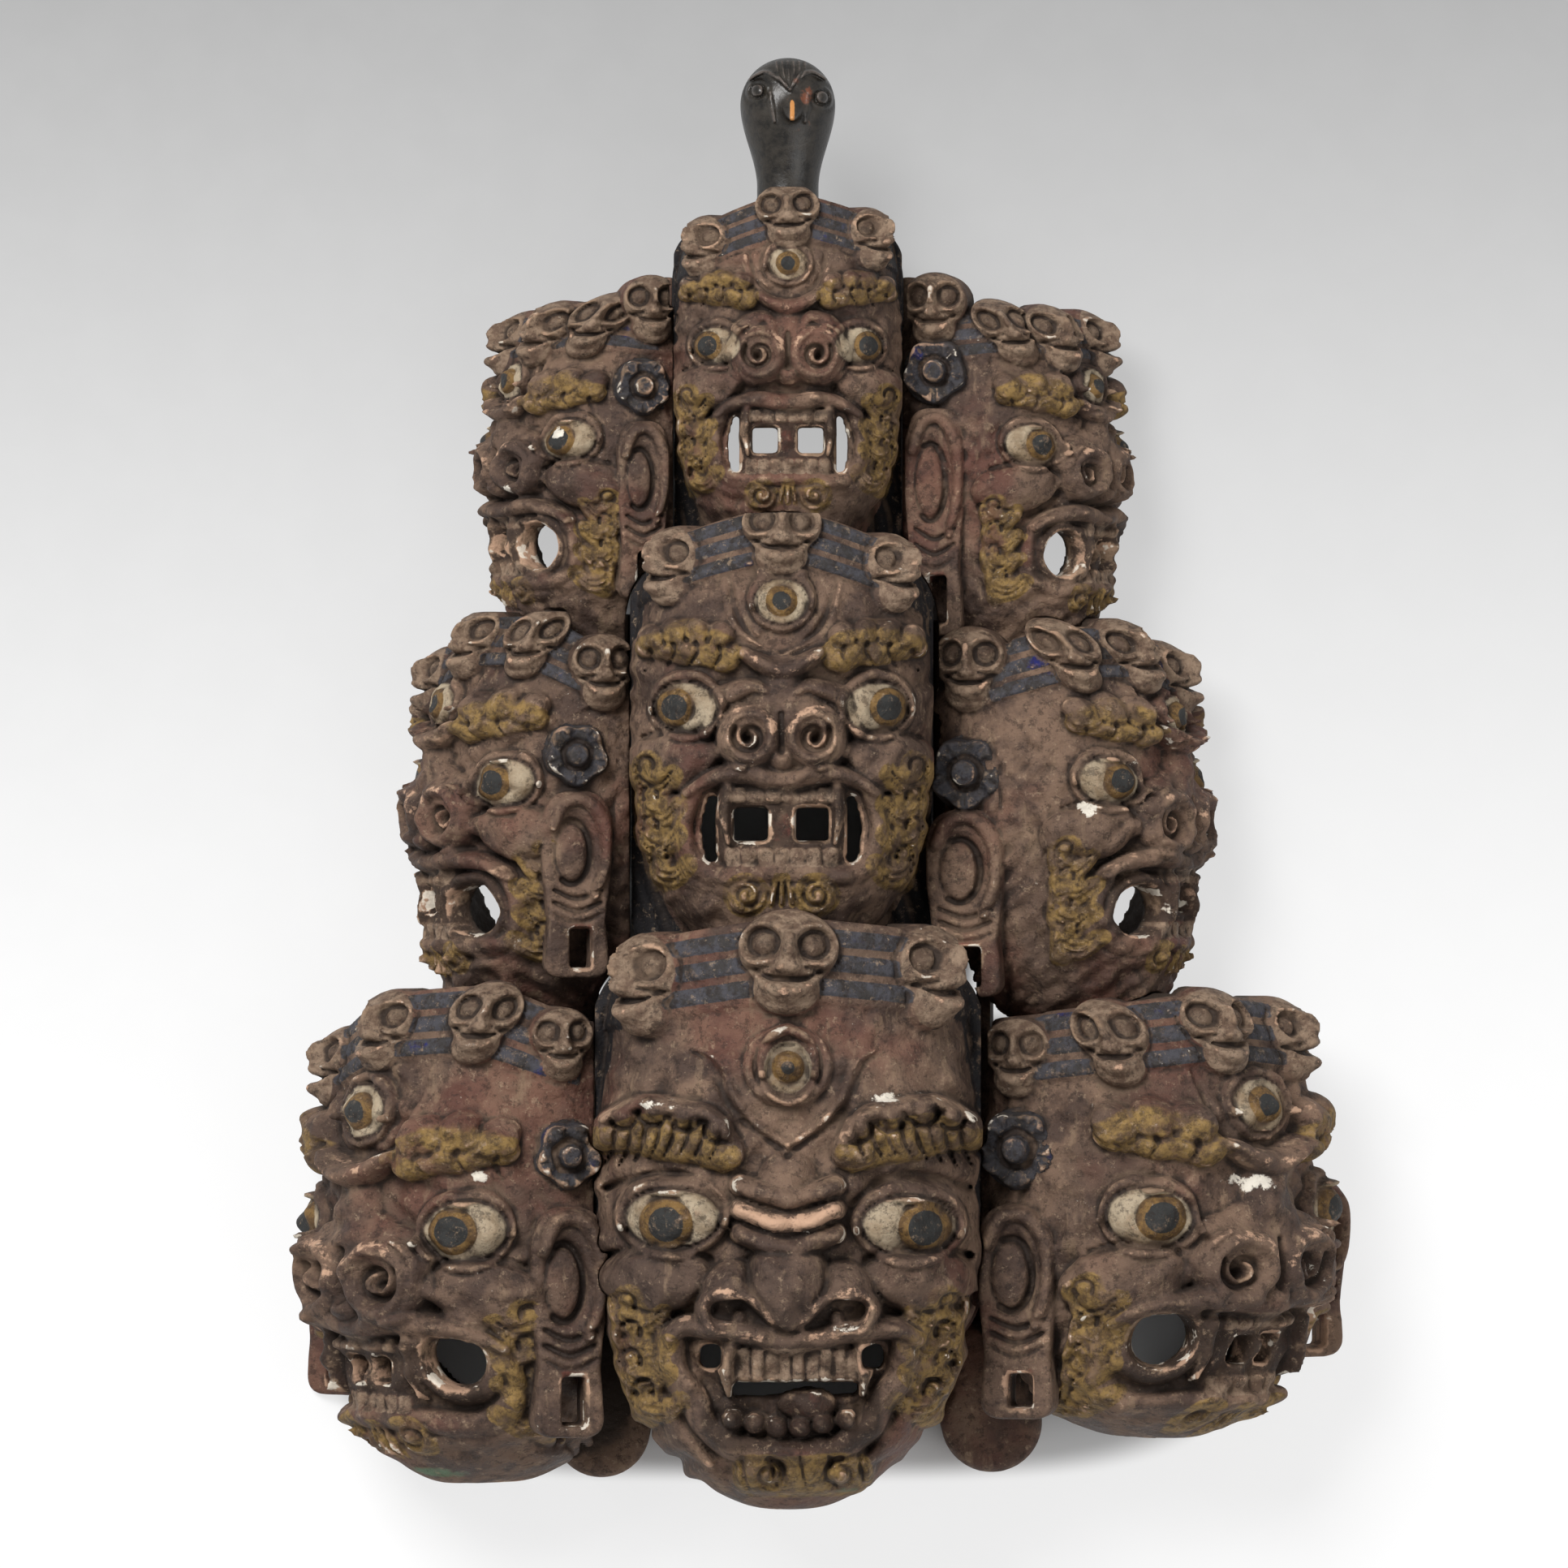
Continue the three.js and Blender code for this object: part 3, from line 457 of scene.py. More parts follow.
def carve_curled_face(face, head):
    turned = head["turn"] != 0
    spread = 1.12 if turned else 1.0
    nose, roll, brow, third = head["nose"], head["roll"], head["brow"], head["third"]
    high, low = head["mouth"]
    face.add(face.mound(0, low - 0.1, 0.75, 0.5, 1.0), 0.04)
    for side in (-1, 1):
        face.add(face.mound(side * 0.5 * spread, brow + 0.1, 0.5, 0.3, 1.0), 0.05)
        face.add(face.mound(side * 0.6 * spread, low - 0.1, 0.35, 0.3, 1.0), 0.05)
        face.lift(face.mound(side * 0.72 * spread, -0.35, 0.33 * spread, 0.21, 0.55, -side * 8), 0.17)
        face.add(face.stroke([(side * 0.38 * spread, -0.24), (side * 0.6 * spread, -0.14),
                              (side * 0.9 * spread, -0.2)], 0.03), -0.05)
        face.add(face.stroke([(side * 0.4, -0.36), (side * 0.62 * spread, -0.57),
                              (side * 0.98 * spread, -0.5)], 0.04), -0.05)
    face.lift(face.mound(0, 0.02, 0.17, 0.36, 0.6), 0.15)
    face.lift(face.mound(0, nose + 0.07, 0.4 if turned else 0.36, 0.33, 0.5), 0.17)
    for side in (-1, 1):
        if turned:
            face.lift(face.mound(side * 0.3, nose + 0.14, 0.22, 0.16, 0.5, side * -20), 0.15)
        else:
            wing = mirror(side, (0.1, 0.1), (0.2, nose + 0.32), (0.42, nose + 0.22), (0.5, nose + 0.02))
            face.lift(face.stroke(wing, 0.085, 0.6, (0.6, 0.6)), 0.165)
    frown = [(-0.25, brow - 0.03), (0, brow - 0.14), (0.25, brow - 0.03)]
    face.lift(face.stroke(frown, 0.085, 0.6, (0.6, 0.6)), 0.19)
    rubbed = [(-0.22, brow - 0.05), (0, brow - 0.15), (0.22, brow - 0.05)]
    face.coat("chip", face.stroke(rubbed, 0.06, 0.6) * 0.55)
    for side in (-1, 1):
        eye = side * (0.62 if not turned else 0.68)
        glance = eye + side * (0.08 if not turned else -0.06)
        carve_eye(face, eye, 0.0, 0.23 if turned else 0.215, 0.165, 0.15, (glance, 0.0),
                  0.13, 0.085, side * 6, 0.03 if turned else 0.0)
        carve_brow(face, side, 0.33, 0.93, brow - 0.06, 0.15, 3 if turned else 4)
        carve_flames(face, side, 0.86 * spread, high + 0.16, low - 0.12, 0.15)
        carve_chin_curl(face, side * 0.23, low - (0.14 if turned else 0.2), 0.12 if turned else 0.145, side)
    for k in (-1, 0, 1):
        strand = [(k * 0.03, low - 0.08), (k * 0.05, low - 0.16), (k * 0.07, low - 0.26)]
        face.lift(face.stroke(strand, 0.025, 0.8, (1, 0.5)), 0.1)
        face.coat("gold", face.stroke(strand, 0.03, 0.6))
    carve_curled_mouth(face, head)
    for side in (-1, 1):
        carve_roll(face, side * (roll + 0.03), nose, roll, side, 0.2 if turned else 0.24)
    face.lift(face.mound(0, nose - roll * 0.8, 0.11, 0.1, 0.6), 0.22)
    face.add(face.stroke([(0, nose + roll * 0.8), (0, nose - roll * 0.6)], 0.03), -0.05)
    carve_eye(face, 0, third, 0.18, 0.15, 0.12, (0.0, third), 0.105, 0.062)
    for side in (-1, 1):
        fold = mirror(side, (0.34, third + 0.2), (0.3, third - 0.05), (0.2, third - 0.22), (0, brow - 0.02))
        face.add(face.stroke(fold, 0.03, 1.0, (0.5, 0.6)), -0.035)
        face.add(face.stroke([(a + side * 0.05, b) for a, b in fold], 0.03, 1.0, (0.5, 0.4)), 0.025)


print("curled face ready")

# %% [markdown]
# ## The largest face
# The lowest centre head has a broad flat nose with open nostrils, a drop-shaped eye in its forehead
# under a heart-shaped fold, and a deep mouth with a tongue.

# %% Face with a broad nose
def carve_broad_face(face, head):
    face.add(face.mound(0, -1.0, 0.8, 0.55, 1.0), 0.05)
    for side in (-1, 1):
        face.add(face.mound(side * 0.5, 0.62, 0.48, 0.34, 1.0), 0.05)
        face.lift(face.mound(side * 0.68, -0.27, 0.3, 0.19, 0.55, -side * 10), 0.17)
        face.add(face.stroke(mirror(side, (0.4, -0.16), (0.64, -0.1), (0.93, -0.17)), 0.03), -0.05)
        face.add(face.stroke(mirror(side, (0.42, -0.34), (0.62, -0.47), (0.95, -0.4)), 0.045), -0.06)
    face.lift(face.mound(0, 0.05, 0.2, 0.36, 0.6), 0.15)
    for v, proud, chip in ((0.17, 0.2, 0.1), (0.05, 0.22, 0.9), (-0.07, 0.2, 0.1)):
        fold = [(-0.24, v + 0.05), (0, v - 0.02), (0.24, v + 0.05)]
        face.lift(face.stroke(fold, 0.085, 0.6, (0.7, 0.7)), proud)
        face.add(face.stroke([(a, b - 0.06) for a, b in fold], 0.022), -0.03)
        face.coat("chip", face.stroke(fold, 0.06, 0.6) * chip)
    eyes = {-1: ((-0.59, 0.05), (-0.62, 0.02)), 1: ((0.62, 0.01), (0.7, 0.0))}
    for side in (-1, 1):
        (s, v), glance = eyes[side]
        carve_eye(face, s, v, 0.25, 0.15, 0.15, glance, 0.14, 0.09, side * -4, 0.02, 0.05)
        crease = mirror(side, (0.93, 0.18), (0.69, 0.26), (0.48, 0.25), (0.33, 0.12))
        face.add(face.stroke(crease, 0.03), -0.04)
        brow = mirror(side, (0.33, 0.4), (0.46, 0.46), (0.64, 0.5), (0.82, 0.5), (0.95, 0.46))
        face.lift(face.stroke(brow, 0.165, 0.5, (0.7, 0.55)), 0.15)
        face.coat("gold", face.stroke([(a, b - 0.03) for a, b in brow], 0.15, 0.4, (0.7, 0.6)))
        ridge = mirror(side, (0.3, 0.47), (0.4, 0.58), (0.58, 0.61), (0.76, 0.63), (0.95, 0.54))
        face.lift(face.stroke(ridge, 0.06, 0.6, (0.8, 0.5)), 0.2)
        face.uncoat(face.stroke([(a, b + 0.02) for a, b in ridge], 0.07, 0.5), "gold")
        for k, (s0, v0, size) in enumerate(((0.35, 0.52, 0.075), (0.52, 0.58, 0.08), (0.69, 0.6, 0.075),
                                            (0.84, 0.57, 0.065))):
            face.lift(face.mound(side * s0, v0, size, size * 0.85, 0.5), 0.215)
            hook = arc(side * s0, v0 - 0.02, size, size * 0.8, 100 - side * 60, 100 - side * 250, 8)
            face.add(face.stroke(hook, 0.018, 1.0, (0.6, 1)), -0.05)
        for k in range(8):
            t = (k + 0.5) / 8
            s0 = side * (0.3 + 0.62 * t)
            v0 = 0.4 + 0.07 * math.sin(math.pi * min(t + 0.2, 1))
            leaf = [(s0, v0 + 0.08), (s0 + side * 0.02, v0 - 0.02), (s0 + side * 0.06, v0 - 0.1)]
            face.add(face.stroke(leaf, 0.018, 1.0, (1, 0.5)), -0.04)
        carve_flames(face, side, 0.8, -0.38, -0.98, 0.16)
    # the broad nose
    face.lift(face.mound(0, -0.31, 0.25, 0.25, 0.5), 0.3)
    for side in (-1, 1):
        face.lift(face.mound(side * 0.27, -0.36, 0.19, 0.2, 0.5, side * -15), 0.25)
        face.add(face.stroke([(side * 0.19, -0.16), (side * 0.2, -0.27), (side * 0.14, -0.36)], 0.03), -0.04)
        nostril = mirror(side, (0.12, -0.49), (0.22, -0.42), (0.34, -0.41))
        face.level(np.minimum(face.stroke(nostril, 0.07, 0.5, (0.5, 0.8)) * 1.6, 1), 0.09)
        # painted shade: the nostril is laid dark
        face.coat("mouth", face.stroke(nostril, 0.07, 0.8, (0.5, 0.8)) * 0.8)
        rim = mirror(side, (0.08, -0.46), (0.2, -0.34), (0.36, -0.31), (0.43, -0.41), (0.36, -0.52),
                     (0.2, -0.54), (0.1, -0.55))
        face.lift(face.stroke(rim, 0.052, 0.8, (0.8, 0.8)), 0.235)
        face.coat("chip", face.stroke(rim, 0.04, 0.6) * 0.65)
        face.lift(face.mound(side * 0.25, -0.45, 0.055, 0.06, 0.6), 0.17)
    face.add(face.stroke([(-0.08, -0.48), (0, -0.54), (0.08, -0.48)], 0.03), -0.04)
    # the mouth, its teeth and the tongue
    face.level(face.slab(0.02, -0.87, 0.5, 0.3, 0.1, 0.16), -0.02)
    # painted shade: the mouth is laid dark
    face.coat("mouth", face.slab(0.02, -0.86, 0.46, 0.28, 0.06, 0.12))
    face.level(face.slab(0.02, -0.815, 0.34, 0.045, 0.03, 0.03), -0.12)
    carve_teeth(face, -0.33, 0.37, -0.6, -0.78, 10, 0.12)
    for side, s in ((-1, -0.3), (1, 0.38)):
        fang = [(s, -0.6), (s + side * 0.01, -0.72), (s, -0.85)]
        face.lift(face.stroke(fang, 0.05, 0.6, (1.1, 0.35)), 0.17)
        face.coat("bone", face.stroke(fang, 0.05, 0.5) * 0.5)
        face.level(face.slab(side * 0.41 + 0.02, -0.66, 0.045, 0.05, 0.03, 0.03), PIERCED)
    face.lift(face.mound(0.1, -0.9, 0.15, 0.085, 0.5), 0.1)
    face.coat("red", face.disc(0.1, -0.9, 0.15, 0.085, 0.04) * 0.42)
    for k, s in enumerate((-0.28, -0.17, -0.06, 0.06, 0.18, 0.3)):
        face.lift(face.mound(s, -1.03 + 0.02 * abs(k - 2.5), 0.062, 0.06, 0.5), 0.13)
        face.coat("bone", face.disc(s, -1.03 + 0.02 * abs(k - 2.5), 0.06, 0.06) * 0.3)
    lip = [(-0.6, -0.55), (-0.5, -0.5), (-0.2, -0.53), (0, -0.58), (0.22, -0.54), (0.53, -0.51),
           (0.66, -0.57)]
    face.lift(face.stroke(lip, 0.08, 0.6, (0.7, 0.7)), 0.185)
    for side in (-1, 1):
        around = [(side * 0.61, -0.57), (side * 0.58, -0.76), (side * 0.48, -0.88), (side * 0.43, -1.01),
                  (side * 0.26, -1.13), (0.03, -1.16)]
        face.lift(face.stroke(around, 0.08, 0.6, (1.1, 1.0)), 0.13)
        face.lift(face.stroke([(side * 0.62, -0.9), (side * 0.55, -1.08), (side * 0.4, -1.22)], 0.085, 0.8,
                              (0.4, 0.4)), 0.09)
        face.add(face.mound(side * 0.3, -0.97, 0.05, 0.1, 0.8), 0.03)
    # the gilded plate of beard under the lip
    plate = face.slab(0.08, -1.28, 0.36, 0.12, 0.06, 0.1)
    face.lift(plate, 0.1)
    face.coat("gold", plate)
    for s, turn in ((-0.1, -1), (0.27, 1)):
        carve_chin_curl(face, s, -1.27, 0.12, turn)
    for k in range(5):
        s = -0.24 + 0.15 * k
        face.add(face.stroke([(s, -1.17), (s + 0.02, -1.28), (s + 0.05, -1.39)], 0.015), -0.03)
    face.coat("green", face.disc(0.3, -1.37, 0.12, 0.035, 0.05) * 0.55)
    # the drop-shaped eye in the forehead, under its heart-shaped fold
    drop = arc(0, 0.83, 0.2, 0.19, 40, -220, 15)
    face.add(face.mound(0, 0.84, 0.22, 0.21, 1.0), 0.03)
    face.add(face.stroke([(0, 1.02), *drop, (0, 1.02)], 0.032, 0.8), 0.055)
    carve_eye(face, 0, 0.82, 0.125, 0.14, 0.1, (0, 0.82), 0.085, 0.035)
    for shift, height in ((0, -0.03), (0.055, 0.03)):
        for side in (-1, 1):
            fold = [(side * (0.5 - shift), 0.9), (side * (0.4 - shift), 0.84), (side * (0.32 - shift), 0.66),
                    (side * (0.21 - shift), 0.53), (0, 0.37 + shift)]
            face.add(face.stroke(fold, 0.028, 1.0, (0.5, 0.8)), height)


print("broad face ready")

# %% [markdown]
# ## The crown of skulls
# A band of three blue slats runs round each forehead, with small skulls set on it. The slats and the
# skulls are drawn on a second sheet that wraps round the band, so a skull at the side of a head keeps
# its full width.

# %% Skulls, slats and rosette
SLAT_PITCH = 0.126
SLAT_HALF = 0.044


def carve_skull(crown, s, v, size, lean=0.0):
    def at(a, b):
        c, n = math.cos(math.radians(lean)), math.sin(math.radians(lean))
        return s + size * (a * c - b * n), v + size * (b * c + a * n)

    top_s, top_v = at(0, 0.25)
    jaw_s, jaw_v = at(0, -0.62)
    dome = np.hypot((crown.S - top_s) / size, (crown.V - top_v) / size / 0.86)
    jaw = np.hypot((crown.S - jaw_s) / size / 0.68, (crown.V - jaw_v) / size / 0.58)
    away = np.minimum(dome - 1, (jaw - 1) * 0.62) * size
    blend = np.maximum(0.12 - np.abs((dome - 1) - (jaw - 1) * 0.62), 0) ** 2 / 0.48 * size
    away = away - blend
    body = np.clip(-away / (0.55 * size), 0, 1) ** 0.5
    crown.outside = np.minimum(crown.outside, away)
    face = away < 0.01
    crown.high = np.where(face, 0.02 + size * 0.72 * body, crown.high)
    inside = np.clip(-away / 0.02, 0, 1)
    crown.uncoat(inside)
    crown.coat("bone", inside)
    for side in (-1, 1):
        socket = at(side * 0.46, 0.36)
        crown.add(crown.disc(*socket, size * 0.37, size * 0.37, size * 0.14) * inside, -size * 0.38)
        # painted shade: the socket is laid dark
        crown.coat("mouth", crown.disc(*socket, size * 0.34, size * 0.34, size * 0.2) * inside * 0.55)
        crown.add(crown.mound(*socket, size * 0.26, size * 0.26, 0.7) * inside, size * 0.14)
        ring = [at(side * 0.46 + 0.4 * math.cos(a), 0.36 + 0.4 * math.sin(a))
                for a in np.linspace(0, 6.283, 13)]
        crown.add(crown.stroke(ring, size * 0.09, 0.8) * inside, size * 0.1)
        cheek = [at(side * 0.12, 0.1), at(side * 0.35, -0.12), at(side * 0.75, -0.22)]
        crown.add(crown.stroke(cheek, size * 0.1) * inside, -size * 0.2)
    crown.add(crown.stroke([at(0, 0.62), at(0, 0.2), at(0, -0.06)], size * 0.2, 0.7, (0.4, 1.3)) * inside,
              size * 0.22)
    crown.add(crown.disc(*at(0, -0.06), size * 0.05, size * 0.1, size * 0.08) * inside, -size * 0.08)
    grin = [at(-0.62, -0.2), at(-0.34, -0.36), at(0, -0.4), at(0.34, -0.36), at(0.62, -0.2)]
    crown.add(crown.stroke(grin, size * 0.09, 1.0, (0.6, 0.6)) * inside, -size * 0.2)
    ledge = [at(-0.52, -0.38), at(-0.28, -0.58), at(0, -0.64), at(0.28, -0.58), at(0.52, -0.38)]
    crown.add(crown.stroke(ledge, size * 0.2, 0.6, (0.5, 0.5)) * inside, size * 0.12)
    jaw_line = [at(-0.4, -0.86), at(0, -0.94), at(0.4, -0.86)]
    crown.add(crown.stroke(jaw_line, size * 0.05) * inside, -size * 0.06)
    crown.coat("chip", crown.stroke(ledge, size * 0.16, 0.6, (0.5, 0.5)) * inside * 0.6)


def carve_slats(crown, low, high, reach):
    middle = (low + high) / 2
    for k in (-1, 0, 1):
        v = middle + k * SLAT_PITCH
        slat = crown.slab(0, v, reach, SLAT_HALF, 0.02, 0.01)
        crown.lift(slat, 0.045, 0.005)
        crown.coat("blue", slat)
    for k in (-0.5, 0.5):
        v = middle + k * SLAT_PITCH
        crown.lift(crown.stroke([(-reach, v), (reach, v)], 0.018, 0.8), 0.03, 0.005)


def carve_rosette(crown, s, v, radius):
    """A flat flower of five dished petals round a raised boss."""
    angle = np.arctan2(crown.V - v, crown.S - s)
    away = np.hypot(crown.S - s, crown.V - v) / radius
    edge = 0.94 + 0.07 * np.cos(5 * angle + math.pi / 2)
    plate = np.clip(0.5 + (edge - away) * radius / 0.03, 0, 1)
    crown.level(plate, 0.17)
    for k in range(5):
        a = math.radians(18 + 72 * k)
        petal = (s + 0.62 * radius * math.cos(a), v + 0.62 * radius * math.sin(a))
        crown.add(crown.mound(*petal, radius * 0.3, radius * 0.3, 0.8) * plate, -0.06)
        rib = math.radians(54 + 72 * k)
        ends = [(s + r * radius * math.cos(rib), v + r * radius * math.sin(rib)) for r in (0.4, 0.6, 0.88)]
        crown.add(crown.stroke(ends, 0.025, 1.0) * plate, -0.03)
    crown.add(crown.stroke(arc(s, v, radius * 0.43, radius * 0.43, 0, 360, 17), 0.03) * plate, -0.05)
    crown.add(crown.disc(s, v, radius * 0.34, radius * 0.34, 0.03), 0.05)
    crown.uncoat(plate)
    crown.coat("blue", plate)


print("crown ready")

# %% [markdown]
# ## Long ears
# The ears of the turned heads are thick upright planks with a rolled rim, a bowl and a hanging lobe
# that a slot pierces. An ear has a drawing of its own, seen straight on.

# %% Ear drawing
EAR_HALF = 0.215
EAR_THICK = 0.17


def draw_ear(tall, long_lobe):
    """v runs from 0 at the bottom of the lobe to tall at the top."""
    ear = Drawing(0.36, -0.1, tall + 0.1)
    bowl = tall * 0.68
    half = tall * 0.19
    rim = [(0.1, bowl - half * 1.25), (0.165, bowl - half * 0.4), (0.165, bowl + half * 0.7),
           (0.06, bowl + half * 1.4), (-0.08, bowl + half * 1.35), (-0.15, bowl + half * 0.7)]
    ear.add(ear.stroke(rim, 0.055, 0.7, (0.6, 0.8)), 0.07)
    ear.add(ear.mound(-0.02, bowl, 0.14, half * 1.15, 1.0), -0.08)
    ear.add(ear.mound(-0.035, bowl - 0.01, 0.1, half * 0.8, 0.6), 0.1)
    ear.add(ear.stroke(arc(-0.035, bowl - 0.01, 0.115, half * 0.9, -120, 110, 11), 0.025), -0.05)
    for k, drop in enumerate((1.35, 1.7, 2.05)):
        ends = bowl - half * (drop - 0.25)
        fold = [(-0.14, ends), (0, bowl - half * drop), (0.14, ends)]
        ear.add(ear.stroke(fold, 0.03, 1.0, (0.6, 0.6)), -0.045 if k < 2 else -0.03)
    slot_low, slot_high = (tall * 0.06, tall * 0.26) if long_lobe else (0.07, 0.24)
    ear.level(ear.slab(0.02, (slot_low + slot_high) / 2, 0.055, (slot_high - slot_low) / 2, 0.02, 0.01),
              PIERCED)
    ear.coat("red", ear.slab(0.02, slot_high, 0.09, 0.06, 0.06) * 0.55)
    ear.add(ear.mound(0.0, tall * 0.32, 0.2, 0.1, 1.0), 0.02)
    return ear


print("an ear is", EAR_THICK, "half widths thick")

# %% [markdown]
# ## From a drawing to a block
# Each head starts as an egg: an upright oval whose width and depth change with height. The distance
# from any point in space to that egg is easy to write down, and taking the drawing's relief off that
# distance carves the face into it. Distances also join, cut and hollow shapes with no seams, which is
# how the hollow, the sawn sides and the holes are made here.

# %% The egg and its relief
WOBBLES = 30                 # crossing waves that keep the skin from looking turned on a machine
WOBBLE_FAST = 42
WOBBLE_HIGH = 0.0032
HAIR_WIDE = 1.03
HAIR_ROUND = 0.5
LEAST = 0.03                 # the narrowest that an oval is ever taken to be


def smooth_max(a, b, blend):
    return np.maximum(a, b) + np.maximum(blend - np.abs(a - b), 0) ** 2 / (4 * blend)


def on_plate(x, z, foot, out):
    """How far a point is along an upright plate and out from it, from its foot and the way it faces."""
    dx, dz = x - foot[0], z - foot[1]
    return dx * out[1] - dz * out[0], dx * out[0] + dz * out[1]


class Head:
    """One head in its own frame, in half widths: x sideways, y up from the eyes, z out of the face."""

    def __init__(self, name):
        self.name = name
        self.size = head = HEADS[name]
        half = head["half"]
        self.half = half
        self.inner = 1 if head["turn"] < 0 else -1
        self.turned = head["turn"] != 0
        self.below = (head["eyes"] - head["chin"]) / half
        self.line = (head["crown"] - head["eyes"]) / half
        self.top = (head["top"] - head["eyes"]) / half
        self.up = np.linspace(-self.below - 0.1, self.top + 0.4, 900)
        above = self.line / math.sqrt(1 - FOREHEAD ** 2)
        share = np.where(self.up < 0, self.up / self.below, self.up / above)
        close = np.sqrt(np.clip(1 - share ** 2, 1e-3, 1))
        self.across = close
        self.front = DEPTH * np.where(self.up < 0, close ** head["jut"], close)
        self.slope_across = np.gradient(self.across, self.up)
        self.slope_front = np.gradient(self.front, self.up)
        self.draw()

    def draw(self):
        head = self.size
        rng = np.random.default_rng(head["seed"])
        self.face = Drawing(1.9 if self.turned else 1.2, -self.below - 0.05, self.line + 0.1)
        (carve_broad_face if head["style"] == "broad" else carve_curled_face)(self.face, head)
        for paint, s, v, half_s, half_v in head.get("traces", ()):
            self.face.coat(paint, self.face.disc(s, v, half_s, half_v, 0.04) * 0.8)
        for _ in range(WOBBLES):
            a, b = rng.uniform(-WOBBLE_FAST, WOBBLE_FAST), rng.uniform(-WOBBLE_FAST, WOBBLE_FAST)
            turn = rng.uniform(0, 6.28)
            self.face.high += WOBBLE_HIGH * np.sin(a * self.face.S + b * self.face.V + turn)
        middle = (self.line + self.top) / 2
        self.crown_low = self.line - 0.5
        self.crown = Drawing(3.1, self.crown_low, self.top + 0.3)
        radius = float(np.interp(middle, self.up, (self.across + self.front) / 2))
        skulls = [(self.inner * math.radians(a) * radius, middle + up)
                  for a, up in zip(head["skulls"], head["rise"])]
        skulls.sort()
        along = np.array(skulls)
        bend = (along[-1, 1] - along[-2, 1], along[0, 1] - along[1, 1])
        knots = np.concatenate([[along[0, 0] - 0.7], along[:, 0], [along[-1, 0] + 0.7]])
        heights = np.concatenate([[along[0, 1] + bend[1] * 0.6], along[:, 1], [along[-1, 1] + bend[0] * 0.6]])
        fine = np.arange(-3.2, 3.2, 0.02)
        course = np.interp(fine, knots, heights)
        course = np.convolve(np.pad(course, 10, "edge"), np.ones(21) / 21, "valid")
        self.course = (fine, course - middle)
        shift = np.interp(self.crown.S, fine, course - middle).astype(np.float32)
        reach = max(abs(k) for k in along[:, 0]) + 0.12
        self.crown.V = self.crown.V - shift
        self.crown.high = 0.03 * smooth_step((self.crown.V - self.line + 0.02) / 0.05)
        carve_slats(self.crown, self.line, self.top, reach)
        self.crown.V = self.crown.V + shift
        inner = self.inner * math.radians(head["skulls"][0]) * radius if self.turned else None
        for s, v in skulls:
            if s != inner:
                carve_skull(self.crown, s, v - 0.01, head["skull"], rng.uniform(-4, 4))
        if self.turned:
            at_x, at_y, at_z, size, faces = head["inner_skull"]
            size = size / self.half
            self.bone = Drawing(1.3 * size, -1.4 * size, 1.4 * size)
            carve_skull(self.bone, 0, 0.0, size)
            self.bone_steep = self.steepness(self.bone)
            angle = math.radians(faces - head["turn"])
            self.bone_place = (*self.from_world(at_x, at_y, at_z), math.sin(angle), math.cos(angle))
        if not self.turned:
            past = np.clip((np.abs(self.crown.S) - reach + 0.16) / 0.05, 0, 1)
            self.crown.coat("black", past)
            self.crown.uncoat(past * (self.crown.outside > 0), "blue")
        if "rosette" in head:
            up, size = head["rosette"]
            self.rose = Drawing(size * 1.25, -size * 1.25, size * 1.25)
            carve_rosette(self.rose, 0, 0, size)
            self.rose_steep = self.steepness(self.rose)
        self.ears = []
        for key in ("ear", "outer_ear"):
            if key in head:
                degrees, high, low, faces, wide = head[key]
                tall = high - low
                drawing = draw_ear(tall, tall > 1.25)
                angle = math.radians(self.inner * degrees)
                depth = DEPTH if math.cos(angle) > 0 else 1.0
                foot = (0.94 * math.sin(angle), 0.94 * depth * math.cos(angle))
                if key == "outer_ear":
                    foot = (foot[0] * 1.17, foot[1])
                angle = math.radians(self.inner * faces)
                out = (math.sin(angle), math.cos(angle))
                self.ears.append(dict(drawing=drawing, out=out, foot=foot, low=low, tall=tall, wide=wide,
                                      steep=self.steepness(drawing)))
        self.face_steep = self.steepness(self.face)
        self.crown_steep = self.steepness(self.crown)

    def steepness(self, drawing):
        gs, gv = np.gradient(drawing.high, drawing.step)
        return np.sqrt(1 + np.minimum(gs ** 2 + gv ** 2, 9.0)).astype(np.float32)

    def egg(self, x, y, z, grow=0.0, open_back=1.0):
        """Distance to the plain egg, in half widths."""
        a = np.interp(y, self.up, self.across).astype(np.float32) + grow
        b = np.interp(y, self.up, self.front).astype(np.float32) + grow
        a, b = np.maximum(a, LEAST), np.maximum(b, LEAST)
        sa = np.interp(y, self.up, self.slope_across).astype(np.float32)
        sb = np.interp(y, self.up, self.slope_front).astype(np.float32)
        if self.turned:
            b = np.where(z < 0, a * open_back, b)
        else:
            z = np.maximum(z, 0)
        k = np.sqrt((x / a) ** 2 + (z / b) ** 2) + 1e-3
        x, z = x / k, z / k
        g = np.sqrt((x / a ** 2) ** 2 + (z / b ** 2) ** 2 + (x * x * sa / a ** 3 + z * z * sb / b ** 3) ** 2)
        return (k - 1) / np.maximum(g, 0.3)

    def places(self, x, y, z):
        """Where a point lies on the two drawings: sideways on the face, and sideways on the crown."""
        a = np.maximum(np.interp(y, self.up, self.across), LEAST).astype(np.float32)
        b = np.maximum(np.interp(y, self.up, self.front), LEAST).astype(np.float32)
        if self.turned:
            b = np.where(z < 0, a, b)
            angle = np.arctan2(x / a, z / b)
        else:
            angle = np.arctan2(x / a, np.maximum(z, 0) / b + 1e-4)
            angle = np.where(z < 0, angle - np.sign(x) * z / a, angle)
        around = angle * np.maximum((a + b) / 2, 0.4)
        return (around if self.turned else x), around

